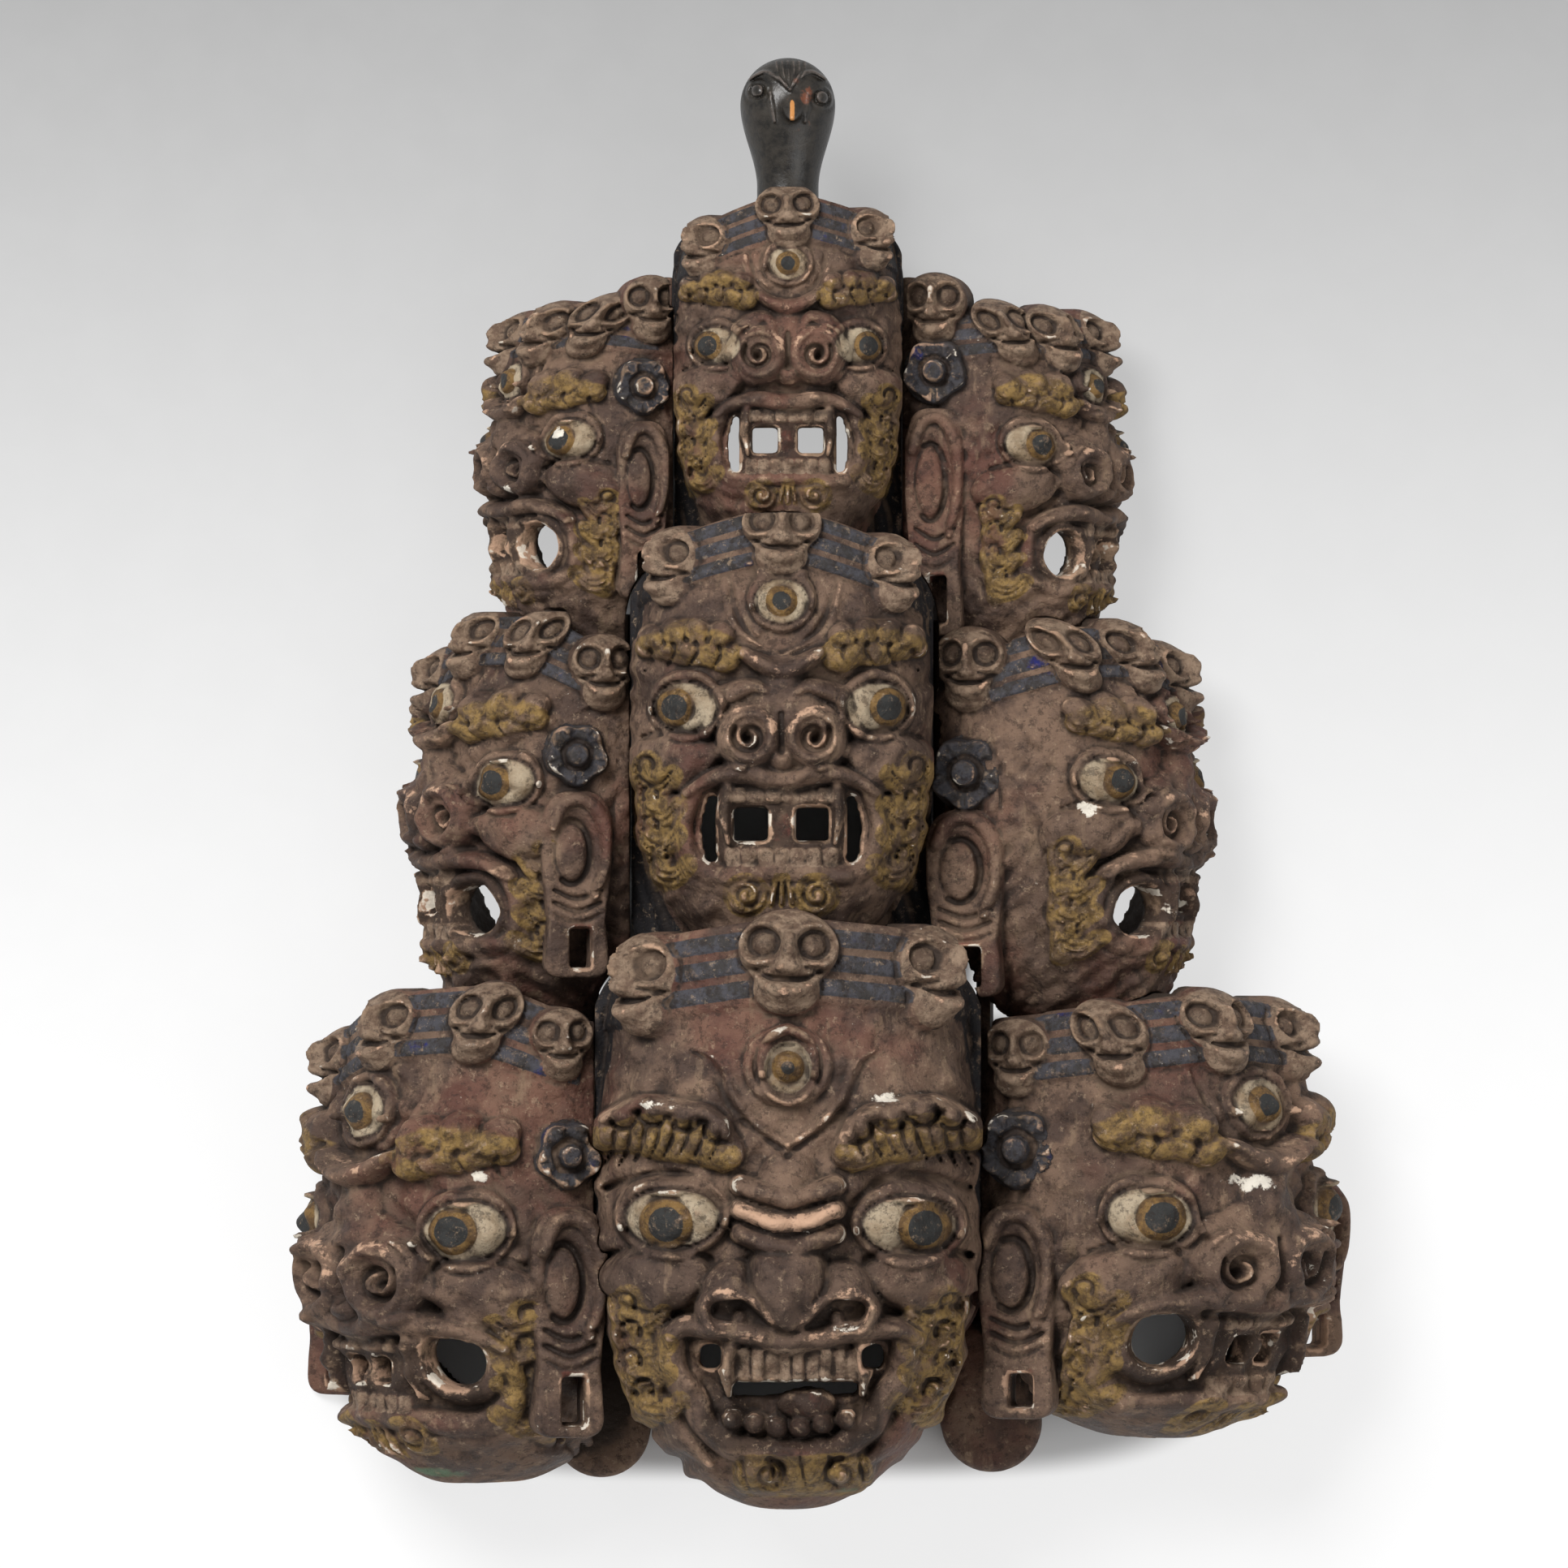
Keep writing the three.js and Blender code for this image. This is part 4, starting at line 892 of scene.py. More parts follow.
    def skin(self, x, y, z):
        """Distance to the carved outside, without its hollow."""
        flat = self.egg(x, y, z)
        s, around = self.places(x, y, z)
        y = y + 0 * x
        over = y - np.interp(around, *self.course).astype(np.float32)
        fade = smooth_step((self.line + 0.02 - over) / 0.05) * smooth_step((y + self.below - 0.02) / 0.24)
        if not self.turned:
            fade = fade * smooth_step(1 + (z - 0.05) / 0.25)
        relief = self.face.read(self.face.high, s, y) * fade
        steep = self.face.read(self.face_steep, s, y)
        crown = self.crown.read(self.crown.high, around, y)
        crown_steep = self.crown.read(self.crown_steep, around, y)
        on_crown = y > self.crown_low
        steep = np.where(on_crown & (crown >= relief), crown_steep, steep)
        relief = np.where(on_crown, np.maximum(relief, crown), relief)
        wall = (flat - relief) / steep
        outside = np.where(on_crown, self.crown.read(self.crown.outside, around, y), 1.0)
        body = smooth_max(smooth_max(wall, over - self.top, 0.03), -self.below - y + 0.004, 0.04)
        bones = np.maximum(np.maximum(wall, outside), -flat - 0.16)
        body = np.minimum(body, bones)
        return body if self.turned else np.minimum(body, self.hair(x, y, z))

    def hair(self, x, y, z):
        """The black mass of hair behind a centre face, which fills the width between its neighbours."""
        bottom = -0.75 if self.size["style"] == "broad" else 0.12 - self.below
        ends = np.maximum(y - self.top + 0.1, bottom - y)
        locks = 0.02 * np.cos(38 * x + 3 * np.sin(5 * y)) + 0.3 * smooth_step((0.45 - y) / 0.6)
        ends = smooth_max(ends, np.abs(x) - HAIR_WIDE, HAIR_ROUND)
        return smooth_max(ends, (z + 0.02 + locks) * 0.8, 0.05)

    def ear(self, ear, x, y, z):
        """Distance to one ear, and the place on its drawing."""
        u, w = on_plate(x, z, ear["foot"], ear["out"])
        u = u / ear["wide"]
        v = y - ear["low"] + 0 * x
        taper = np.interp(v / ear["tall"], (0, 0.2, 0.3, 0.6, 0.85, 1), (0.92, 0.86, 0.8, 0.98, 1, 0.7))
        side = np.abs(u) - (EAR_HALF * taper).astype(np.float32)
        ends = np.abs(v - ear["tall"] / 2) - ear["tall"] / 2
        outline = smooth_max(side, ends, 0.12)
        drawing = ear["drawing"]
        surface = (w - EAR_THICK + 0.02 - drawing.read(drawing.high, u, v)) / drawing.read(ear["steep"], u, v)
        return smooth_max(smooth_max(outline, surface, 0.04), -w - 0.1, 0.02), u, v

    def rose_at(self, x, y, z):
        """Distance to the rosette over the ear."""
        ear = self.ears[0]
        up, size = self.size["rosette"]
        u, w = on_plate(x, z, ear["foot"], ear["out"])
        v = y - up + 0 * x
        away = np.hypot(u, v) - size * 1.02
        surface = (w - 0.02 - self.rose.read(self.rose.high, u, v)) / self.rose.read(self.rose_steep, u, v)
        return np.maximum(np.maximum(surface, away), -w - 0.3), u, v

    def bone_at(self, x, y, z):
        """Distance to the skull beside the centre head, which faces straight out, and its place there."""
        at_x, at_y, at_z, out_x, out_z = self.bone_place
        u, w = on_plate(x, z, (at_x, at_z), (out_x, out_z))
        v = y - at_y + 0 * x
        surface = (w - self.bone.read(self.bone.high, u, v)) / self.bone.read(self.bone_steep, u, v)
        return np.maximum(np.maximum(surface, self.bone.read(self.bone.outside, u, v)), -w - 0.35), u, v

    def hollow(self, x, y, z):
        """The inside: a wall narrower, but as tall as the head at its chin, so it slits the chin wall."""
        inside = self.egg(x, y, z, -WALL, 1.6)
        return np.maximum(inside, y - (self.top - WALL))

    def to_world(self, x, y, z):
        """Points in half widths to millimetres over the mask, heights from the lowest chin."""
        head = self.size
        t = math.radians(head["turn"])
        return (head["x"] + self.half * (x * math.cos(t) + z * math.sin(t)),
                head["eyes"] + self.half * y,
                head["axis"] + self.half * (z * math.cos(t) - x * math.sin(t)))

    def from_world(self, x, y, z):
        head = self.size
        t = math.radians(head["turn"])
        dx = (x - head["x"]) / self.half
        dy = (y - head["eyes"]) / self.half
        dz = (z - head["axis"]) / self.half
        return dx * math.cos(t) - dz * math.sin(t), dy, dx * math.sin(t) + dz * math.cos(t)


heads = {name: Head(name) for name in HEADS}
print("drew", len(heads), "faces")

# %% [markdown]
# ## Carving the blocks
# The distance is worked out on a fine grid round each head and a skin is drawn through the places
# where it is zero. Blender's own volume library does that. A finer grid keeps more of the carving and
# makes a heavier mesh, so the small heads get the finest grid and nothing gets more than it needs.

# %% Carve
COARSER = 1.0
GRID = {"low": 1.6 * COARSER, "mid": 1.35 * COARSER, "top": 1.15 * COARSER}     # grid step, in millimetres
FLAT_ENOUGH = 0.01           # how freely flat ground is covered with larger faces
BUDGET = {"low": 122000, "mid": 103000, "top": 87000, "bird": 30000}     # triangles a piece may keep
TIERS = ("low", "mid", "top")
WEB_ABOVE, WEB_LOW, WEB_THICK = 34, 60, 7.5      # the walls on the turned heads' sawn sides, in millimetres
TONGUE, TONGUE_UP, TONGUE_HIGH = 2.0, 22, 6      # the tongue on a centre block's sawn sides, millimetres


def tier(name):
    return name.split("_")[1]


def centre_name(head):
    return f"head_{tier(head.name)}_centre"


def lobe_distance(head, x, y, z):
    """The thick rounded plank under a low side ear, in millimetres over the mask."""
    lobe_x, lobe_y, radius = head.size["lobe"]
    disc = np.hypot(x - lobe_x, y - lobe_y) - radius
    plank = smooth_max(np.abs(x - lobe_x) - radius * 0.8, np.abs(y - lobe_y - radius) - radius * 0.95, 8)
    flat = np.minimum(disc, plank)
    return smooth_max(smooth_max(flat, z - 66, 10), -z, 1)


def web_distance(head, y, z):
    """The low wall of wood along a turned head's sawn side, in millimetres."""
    level = TIERS.index(tier(head.name))
    below = (WEB_LOW, HEADS["head_low_centre"]["top"] + WEB_ABOVE, head.size["chin"])[level]
    return smooth_max(np.maximum(below - y, y - head.size["top"] - WEB_LOW), z - head.size["axis"] * 0.5, 6)


def block_distance(head, x, y, z):
    """Distance to the finished block, in half widths."""
    size = head.size
    d = head.skin(x, y, z)
    wx, wy, wz = head.to_world(x, y, z)
    d = smooth_max(d, -head.hollow(x, y, z), 0.02)
    centre = HEADS[centre_name(head)]
    tongue = TONGUE * np.exp(-((wz - TONGUE_UP) / TONGUE_HIGH) ** 2)
    if head.turned:
        sawn = (centre["half"] + GLUE_LINE + tongue + head.inner * (wx - centre["x"])) / head.half
        d = np.minimum(d, np.maximum(web_distance(head, wy, wz) / head.half, -WEB_THICK / head.half - sawn))
    else:
        sawn = (np.abs(wx - size["x"]) - size["half"] - tongue) / head.half
    d = np.maximum(d, sawn)
    if head.ears:
        beside = 1e3 * np.ones_like(d)
        for ear in head.ears:
            beside = np.minimum(beside, head.ear(ear, x, y, z)[0])
        beside = np.minimum(beside, head.rose_at(x, y, z)[0])
        beside = np.minimum(beside, head.bone_at(x, y, z)[0])
        if "lobe" in size:
            beside = np.minimum(beside, lobe_distance(head, wx, wy, wz) / head.half)
        middle_head = heads[centre_name(head)]
        cheek = middle_head.skin(*middle_head.from_world(wx, wy, wz)) * centre["half"]
        d = np.minimum(d, np.maximum(beside, (2 * GLUE_LINE - cheek) / head.half))
    level = TIERS.index(tier(head.name))
    if level:
        for other in heads.values():
            if tier(other.name) == TIERS[level - 1]:
                reached = int(np.searchsorted(wy[0, :, 0], other.size["top"] + 14))
                rows = np.s_[:, :reached]
                ox, oy, oz = other.from_world(wx[:, :1], wy[rows], wz[:, :1])
                room = other.skin(ox, oy, oz) * other.half / head.half
                d[rows] = np.maximum(d[rows], 2 * GLUE_LINE / head.half - room)
    return np.maximum(d, -wz / head.half)


def blur(field, count):
    """Average with the neighbours along each axis, a number of times."""
    for _ in range(count):
        for axis in range(3):
            moved = np.moveaxis(field, axis, 0)
            out = moved.copy()
            out[1:-1] = 0.25 * moved[:-2] + 0.5 * moved[1:-1] + 0.25 * moved[2:]
            field = np.moveaxis(out, 0, axis)
    return field


def read_grid(field, points):
    top = np.array(field.shape) - 1.001
    p = np.clip(points, 0, top)
    i = p.astype(np.int32)
    f = (p - i).astype(np.float32)
    out = np.zeros(len(p), np.float32)
    for dx in (0, 1):
        for dy in (0, 1):
            for dz in (0, 1):
                weight = ((f[:, 0] if dx else 1 - f[:, 0]) * (f[:, 1] if dy else 1 - f[:, 1])
                          * (f[:, 2] if dz else 1 - f[:, 2]))
                out += weight * field[i[:, 0] + dx, i[:, 1] + dy, i[:, 2] + dz]
    return out


def mesh_from_distance(distance, step, adaptivity=0.0):
    """Points, and three-sided and four-sided faces, where the distance is zero."""
    grid = openvdb.FloatGrid(background=3 * step)
    grid.copyFromArray(np.clip(distance, -3 * step, 3 * step).astype(np.float32), tolerance=0.0)
    return grid.convertToPolygons(isovalue=0.0, adaptivity=adaptivity)


def make_object(name, points, threes, fours):
    mesh = bpy.data.meshes.new(name)
    loops = np.concatenate([fours.ravel(), threes.ravel()]).astype(np.int32)
    counts = np.concatenate([np.full(len(fours), 4), np.full(len(threes), 3)]).astype(np.int32)
    starts = np.concatenate([[0], np.cumsum(counts)[:-1]]).astype(np.int32)
    mesh.vertices.add(len(points))
    mesh.vertices.foreach_set("co", points.astype(np.float32).ravel())
    mesh.loops.add(len(loops))
    mesh.loops.foreach_set("vertex_index", loops)
    mesh.polygons.add(len(counts))
    mesh.polygons.foreach_set("loop_start", starts)
    mesh.polygons.foreach_set("loop_total", counts)
    mesh.update(calc_edges=True)
    mesh.validate()
    mesh.polygons.foreach_set("use_smooth", np.ones(len(mesh.polygons), bool))
    piece = bpy.data.objects.new(name, mesh)
    bpy.context.scene.collection.objects.link(piece)
    return piece


def triangles(piece):
    return sum(len(face.vertices) - 2 for face in piece.data.polygons)


def thin_out(piece, budget):
    """Take points away where they show least, until the mesh is inside its budget."""
    count = triangles(piece)
    if count <= budget:
        return
    bpy.ops.object.select_all(action="DESELECT")
    bpy.context.view_layer.objects.active = piece
    piece.select_set(True)
    thinner = piece.modifiers.new("thinner", "DECIMATE")
    thinner.ratio = budget / count
    bpy.ops.object.modifier_apply(modifier="thinner")


def take_points(piece):
    points = np.zeros(len(piece.data.vertices) * 3, np.float32)
    piece.data.vertices.foreach_get("co", points)
    return points.reshape(-1, 3)


def place_points(piece, x, y, z):
    """Put the points in their places, given in millimetres over the mask."""
    world = np.stack([x * MM + CENTRE_X, y * MM + BASE_Y, z * MM], 1)
    piece.data.vertices.foreach_set("co", world.astype(np.float32).ravel())
    piece.data.update()


def put_reading(piece, name, values):
    layer = piece.data.attributes.new(name, "FLOAT", "POINT")
    layer.data.foreach_set("value", np.ascontiguousarray(values, np.float32))


def paint_on(drawing, paint, u, v):
    """One paint's strength at places on a drawing."""
    return drawing.read(drawing.paints[paint], u, v) if paint in drawing.paints else 0


def paint_readings(head, x, y, z):
    """Every paint's strength at points on the block."""
    s, around = head.places(x, y, z)
    on_crown = y > head.crown_low
    past = y - np.interp(around, *head.course)
    over = on_crown & ((past > head.line - 0.01) | (head.crown.read(head.crown.outside, around, y) < 0))
    skin = head.skin(x, y, z)
    nearest = np.abs(skin)
    readings = {paint: np.zeros(len(x), np.float32) for paint in PAINTS}
    for paint in PAINTS:
        face, crown = paint_on(head.face, paint, s, y), paint_on(head.crown, paint, around, y)
        readings[paint][:] = np.where(over, crown, face)
    if not head.turned:
        behind = np.clip((0.16 - z) / 0.08, 0, 1) * np.clip(y / 0.08, 0, 1)
        high_side = np.clip((np.abs(around) - 1.15) / 0.05, 0, 1)
        high_side = high_side * np.clip((past - head.line + 0.25) / 0.05, 0, 1)
        high_side = np.maximum(high_side, np.clip((head.egg(x, y, z) - 0.05) / 0.02, 0, 1) * (z < 0.03))
        bone = readings["bone"]
        readings["black"] = np.maximum(readings["black"], np.maximum(behind, high_side) * (1 - bone))
    for ear in head.ears:
        d, u, v = head.ear(ear, x, y, z)
        closer = np.abs(d) < nearest - 1e-3
        nearest = np.where(closer, np.abs(d), nearest)
        for paint in PAINTS:
            value = paint_on(ear["drawing"], paint, u, v)
            readings[paint] = np.where(closer, value, readings[paint]).astype(np.float32)
    if "rosette" in head.size:
        d, u, v = head.rose_at(x, y, z)
        closer = np.abs(d) < nearest + 2e-3
        nearest = np.where(closer, np.abs(d), nearest)
        for paint in PAINTS:
            value = {"blue": 0.56, "black": 1.0}.get(paint, 0.0)
            readings[paint] = np.where(closer, value, readings[paint]).astype(np.float32)
        d, u, v = head.bone_at(x, y, z)
        closer = np.abs(d) < nearest + 2e-3
        for paint in PAINTS:
            value = paint_on(head.bone, paint, u, v)
            readings[paint] = np.where(closer, value, readings[paint]).astype(np.float32)
    # how far a point lies on the inside of the shell or down the wall of a hole, where the finish lays
    # painted shade
    inside = np.clip(1 - np.abs(head.hollow(x, y, z)) / 0.02, 0, 1) * np.clip(-head.egg(x, y, z) / 0.05, 0, 1)
    sunk = np.clip((-head.egg(x, y, z) - 0.05) / 0.04, 0, 1)
    readings["inside"] = np.where(head.hollow(x, y, z) < 0.01, 1.0, np.maximum(inside, sunk))
    return readings


def carve_block(name):
    head = heads[name]
    size = head.size
    step = GRID[tier(name)] / head.half
    reach = 1.32 if head.turned else 1.04
    back = -1.25 if head.turned else -size["axis"] / head.half - 3 * step
    low = np.array([-reach - 0.03, -head.below - 0.16, back])
    if "lobe" in size:
        low[1] = min(low[1], (10 - size["eyes"]) / head.half)
    high = np.array([reach, head.top + 0.16, 1.32])
    if head.turned:
        high[1] = max(high[1], head.bone_place[1] + 0.32)
    if "lobe" in size:
        low[0], high[0] = (low[0], 1.5) if head.inner > 0 else (-1.5, high[0])
    count = ((high - low) / step).astype(int) + 1
    x, y, z = (low[k] + step * np.arange(count[k], dtype=np.float32) for k in range(3))
    x, y, z = (k.astype(np.float32) for k in (x[:, None, None], y[None, :, None], z[None, None, :]))
    x, z = x + 0 * z, z + 0 * x
    distance = block_distance(head, x, y, z)
    points, threes, fours = mesh_from_distance(distance, step, FLAT_ENOUGH)
    fine = blur(distance.clip(-8 * step, 8 * step), 3)
    wide = blur(fine[::2, ::2, ::2], 8)
    piece = make_object(name.replace("head_", "") + "_head", points, threes, fours)
    thin_out(piece, BUDGET[tier(name)])
    points = take_points(piece)
    local = low + step * points
    px, py, pz = (local[:, k].astype(np.float32) for k in range(3))
    place_points(piece, *head.to_world(px, py, pz))
    for paint, values in paint_readings(head, px, py, pz).items():
        put_reading(piece, paint, values)
    # how sharp each ridge or crease is: the finish wears the ridges and darkens the creases as painted shade
    put_reading(piece, "edge", read_grid(fine, points) / step)
    # how deep each point lies in a broad hollow, which the finish darkens as painted shade
    put_reading(piece, "hollow", -read_grid(wide, points / 2) / step)
    return piece


blocks = {}
for name in HEADS:
    blocks[name] = carve_block(name)
    print(name, triangles(blocks[name]), "triangles")

# %% [markdown]
# ## The bird
# A bird's head on a smooth neck crowns the mask. It is turned from one piece of wood and blackened,
# with staring eyes under raised brows and a short hooked beak.

# %% Bird
def carve_bird():
    ball = BIRD["head"]
    middle = BIRD["top"] - ball
    face = Drawing(1.3, -1.4, 1.3, 0.01)
    for side, s, v in ((-1, -0.64, 0.26), (1, 0.72, 0.12)):
        face.add(face.mound(s, v, 0.32, 0.34, 1.0), -0.1)
        face.lift(face.mound(s, v, 0.13, 0.14, 0.5), 0.09)
        face.add(face.stroke(arc(s, v, 0.2, 0.21, 0, 360, 17), 0.05), 0.04)
        brow = [(0.05, 0.25), (side * 0.2, 0.5), (side * 0.5, 0.66), (side * 0.8, 0.52)]
        face.add(face.stroke(brow, 0.07, 0.8, (0.6, 0.6)), 0.09)
        cheek = [(side * 0.42 + 0.04, 0.2), (side * 0.38 + 0.04, -0.1), (side * 0.32 + 0.04, -0.4)]
        face.add(face.stroke(cheek, 0.08, 0.8, (0.6, 0.6)), 0.06)
    for k in range(-2, 4):
        face.add(face.stroke([(0.04 + 0.05 * k, 0.35), (0.02 + 0.11 * k, 0.62), (0.12 * k, 0.9)], 0.03), 0.04)
    steep = np.sqrt(1 + np.minimum(sum(g ** 2 for g in np.gradient(face.high, face.step)), 9))
    step = 0.8
    low = np.array([-ball * 1.25, BIRD["base"] - 2, -ball * 1.2])
    high = np.array([ball * 1.25, BIRD["top"] + 3, ball + BIRD["beak"]])
    count = ((high - low) / step).astype(int) + 1
    x, y, z = (low[k] + step * np.arange(count[k], dtype=np.float32) for k in range(3))
    x, y, z = x[:, None, None], y[None, :, None], z[None, None, :]
    rise = smooth_step((y - BIRD["base"] - 12) / (middle - BIRD["base"] - 12))
    neck = BIRD["neck"] + (ball - BIRD["neck"]) * rise
    stem = np.maximum(np.hypot(x, z) - neck, y - middle)
    globe = np.sqrt(x ** 2 + (y - middle) ** 2 + z ** 2) - ball
    s, v = (x / ball) + 0 * y + 0 * z, (y - middle) / ball + 0 * x + 0 * z
    relief = face.read(face.high, s, v) * smooth_step(z / 8 + 0.2) * ball
    body = (np.where(y > middle, globe, np.minimum(stem, globe)) - relief) / face.read(steep, s, v)
    # the beak: a hooked cone that droops from the middle of the face
    t = np.clip((z - ball * 0.72) / 18, 0, 1)
    droop = middle - 1 - 9 * t ** 1.6
    wide = 8.5 * (1 - t) ** 0.75 + 0.8
    tall = 9.5 * (1 - t) ** 0.7 + 0.8
    beak = (np.sqrt(((x - 2.5) / wide) ** 2 + ((y - droop) / tall) ** 2) - 1) * wide
    beak = np.maximum(np.maximum(beak, z - ball - 11), ball * 0.5 - z)
    body = -smooth_max(-body, -beak, 3.0)
    body = np.maximum(body, BIRD["base"] - y)
    points, threes, fours = mesh_from_distance(body, step)
    bird = make_object("bird_head", points, threes, fours)
    thin_out(bird, BUDGET["bird"])
    points = take_points(bird)
    local = low + step * points
    place_points(bird, local[:, 0] + BIRD["x"], local[:, 1], local[:, 2] + BIRD["z"])
    put_reading(bird, "edge", read_grid(blur(body.clip(-8, 8), 3), points))
    tip = smooth_step((local[:, 2] - ball - 1) / 5) * smooth_step(1.2 - np.abs(local[:, 0] - 2.5) / 1.8)
    put_reading(bird, "beak_tip", tip)
    put_reading(bird, "face", smooth_step(local[:, 2] / 12))
    return bird


bird = carve_bird()
print("bird:", len(bird.data.polygons), "faces")

# %% [markdown]
# ## A paint box for worn surfaces
# Old paint is never one colour. Each finish below is built from a few plain helpers: a reading that the
# carving left on the mesh, a noise that breaks it up, and a mix of two colours.

# %% Paint box
def colour(red, green, blue):
    """A colour as seen on a screen, 0 to 255, turned into the values that light works with."""
    light = (((c / 255 + 0.055) / 1.055) ** 2.4 if c > 10 else c / 3294 for c in (red, green, blue))
    return (*light, 1.0)


class PaintBox:
    def __init__(self, name):
        self.material = bpy.data.materials.new(name)
        self.material.use_nodes = True
        self.nodes = self.material.node_tree.nodes
        self.links = self.material.node_tree.links
        self.shader = self.nodes["Principled BSDF"]
        self.place = self.nodes.new("ShaderNodeTexCoord").outputs["Object"]

    def put(self, socket, value):
        if isinstance(value, bpy.types.NodeSocket):
            self.links.new(value, socket)
        else:
            socket.default_value = value

    def reading(self, name):
        node = self.nodes.new("ShaderNodeAttribute")
        node.attribute_name = name
        return node.outputs["Fac"]

    def noise(self, scale, detail=4.0, roughness=0.6, stretch=None):
        node = self.nodes.new("ShaderNodeTexNoise")
        place = self.place
        if stretch:
            mapping = self.nodes.new("ShaderNodeMapping")
            mapping.inputs["Scale"].default_value = stretch
            self.links.new(place, mapping.inputs["Vector"])
            place = mapping.outputs["Vector"]
        self.links.new(place, node.inputs["Vector"])
        node.inputs["Scale"].default_value = scale
        node.inputs["Detail"].default_value = detail
        node.inputs["Roughness"].default_value = roughness
        return node.outputs["Fac"]

    def sum(self, a, b, kind="ADD"):
        node = self.nodes.new("ShaderNodeMath")
        node.operation = kind
        self.put(node.inputs[0], a)
        self.put(node.inputs[1], b)
        return node.outputs[0]

    def between(self, value, low, high, to_low=0.0, to_high=1.0):
        """Slide from to_low to to_high as the value goes from low to high."""
        node = self.nodes.new("ShaderNodeMapRange")
        node.interpolation_type = "SMOOTHSTEP"
        for socket, number in zip(node.inputs[:5], (value, low, high, to_low, to_high)):
            self.put(socket, number)
        return node.outputs[0]

    def mix(self, under, over, amount):
        node = self.nodes.new("ShaderNodeMix")
        node.data_type = "RGBA"
        self.put(node.inputs["Factor"], amount)
        self.put(node.inputs[6], under)
        self.put(node.inputs[7], over)
        return node.outputs[2]

    def ragged(self, name, breakup, amount=0.5, low=0.4, high=0.6):
        """A painted patch with a worn, uneven edge."""
        torn = self.sum(self.sum(breakup, 0.5, "SUBTRACT"), amount, "MULTIPLY")
        return self.between(self.sum(self.reading(name), torn), low, high)

    def bump(self, height, strength, distance, under=None):
        node = self.nodes.new("ShaderNodeBump")
        node.inputs["Strength"].default_value = strength
        node.inputs["Distance"].default_value = distance
        self.put(node.inputs["Height"], height)
        if under:
            self.links.new(under, node.inputs["Normal"])
        return node.outputs["Normal"]


print("paint box ready")
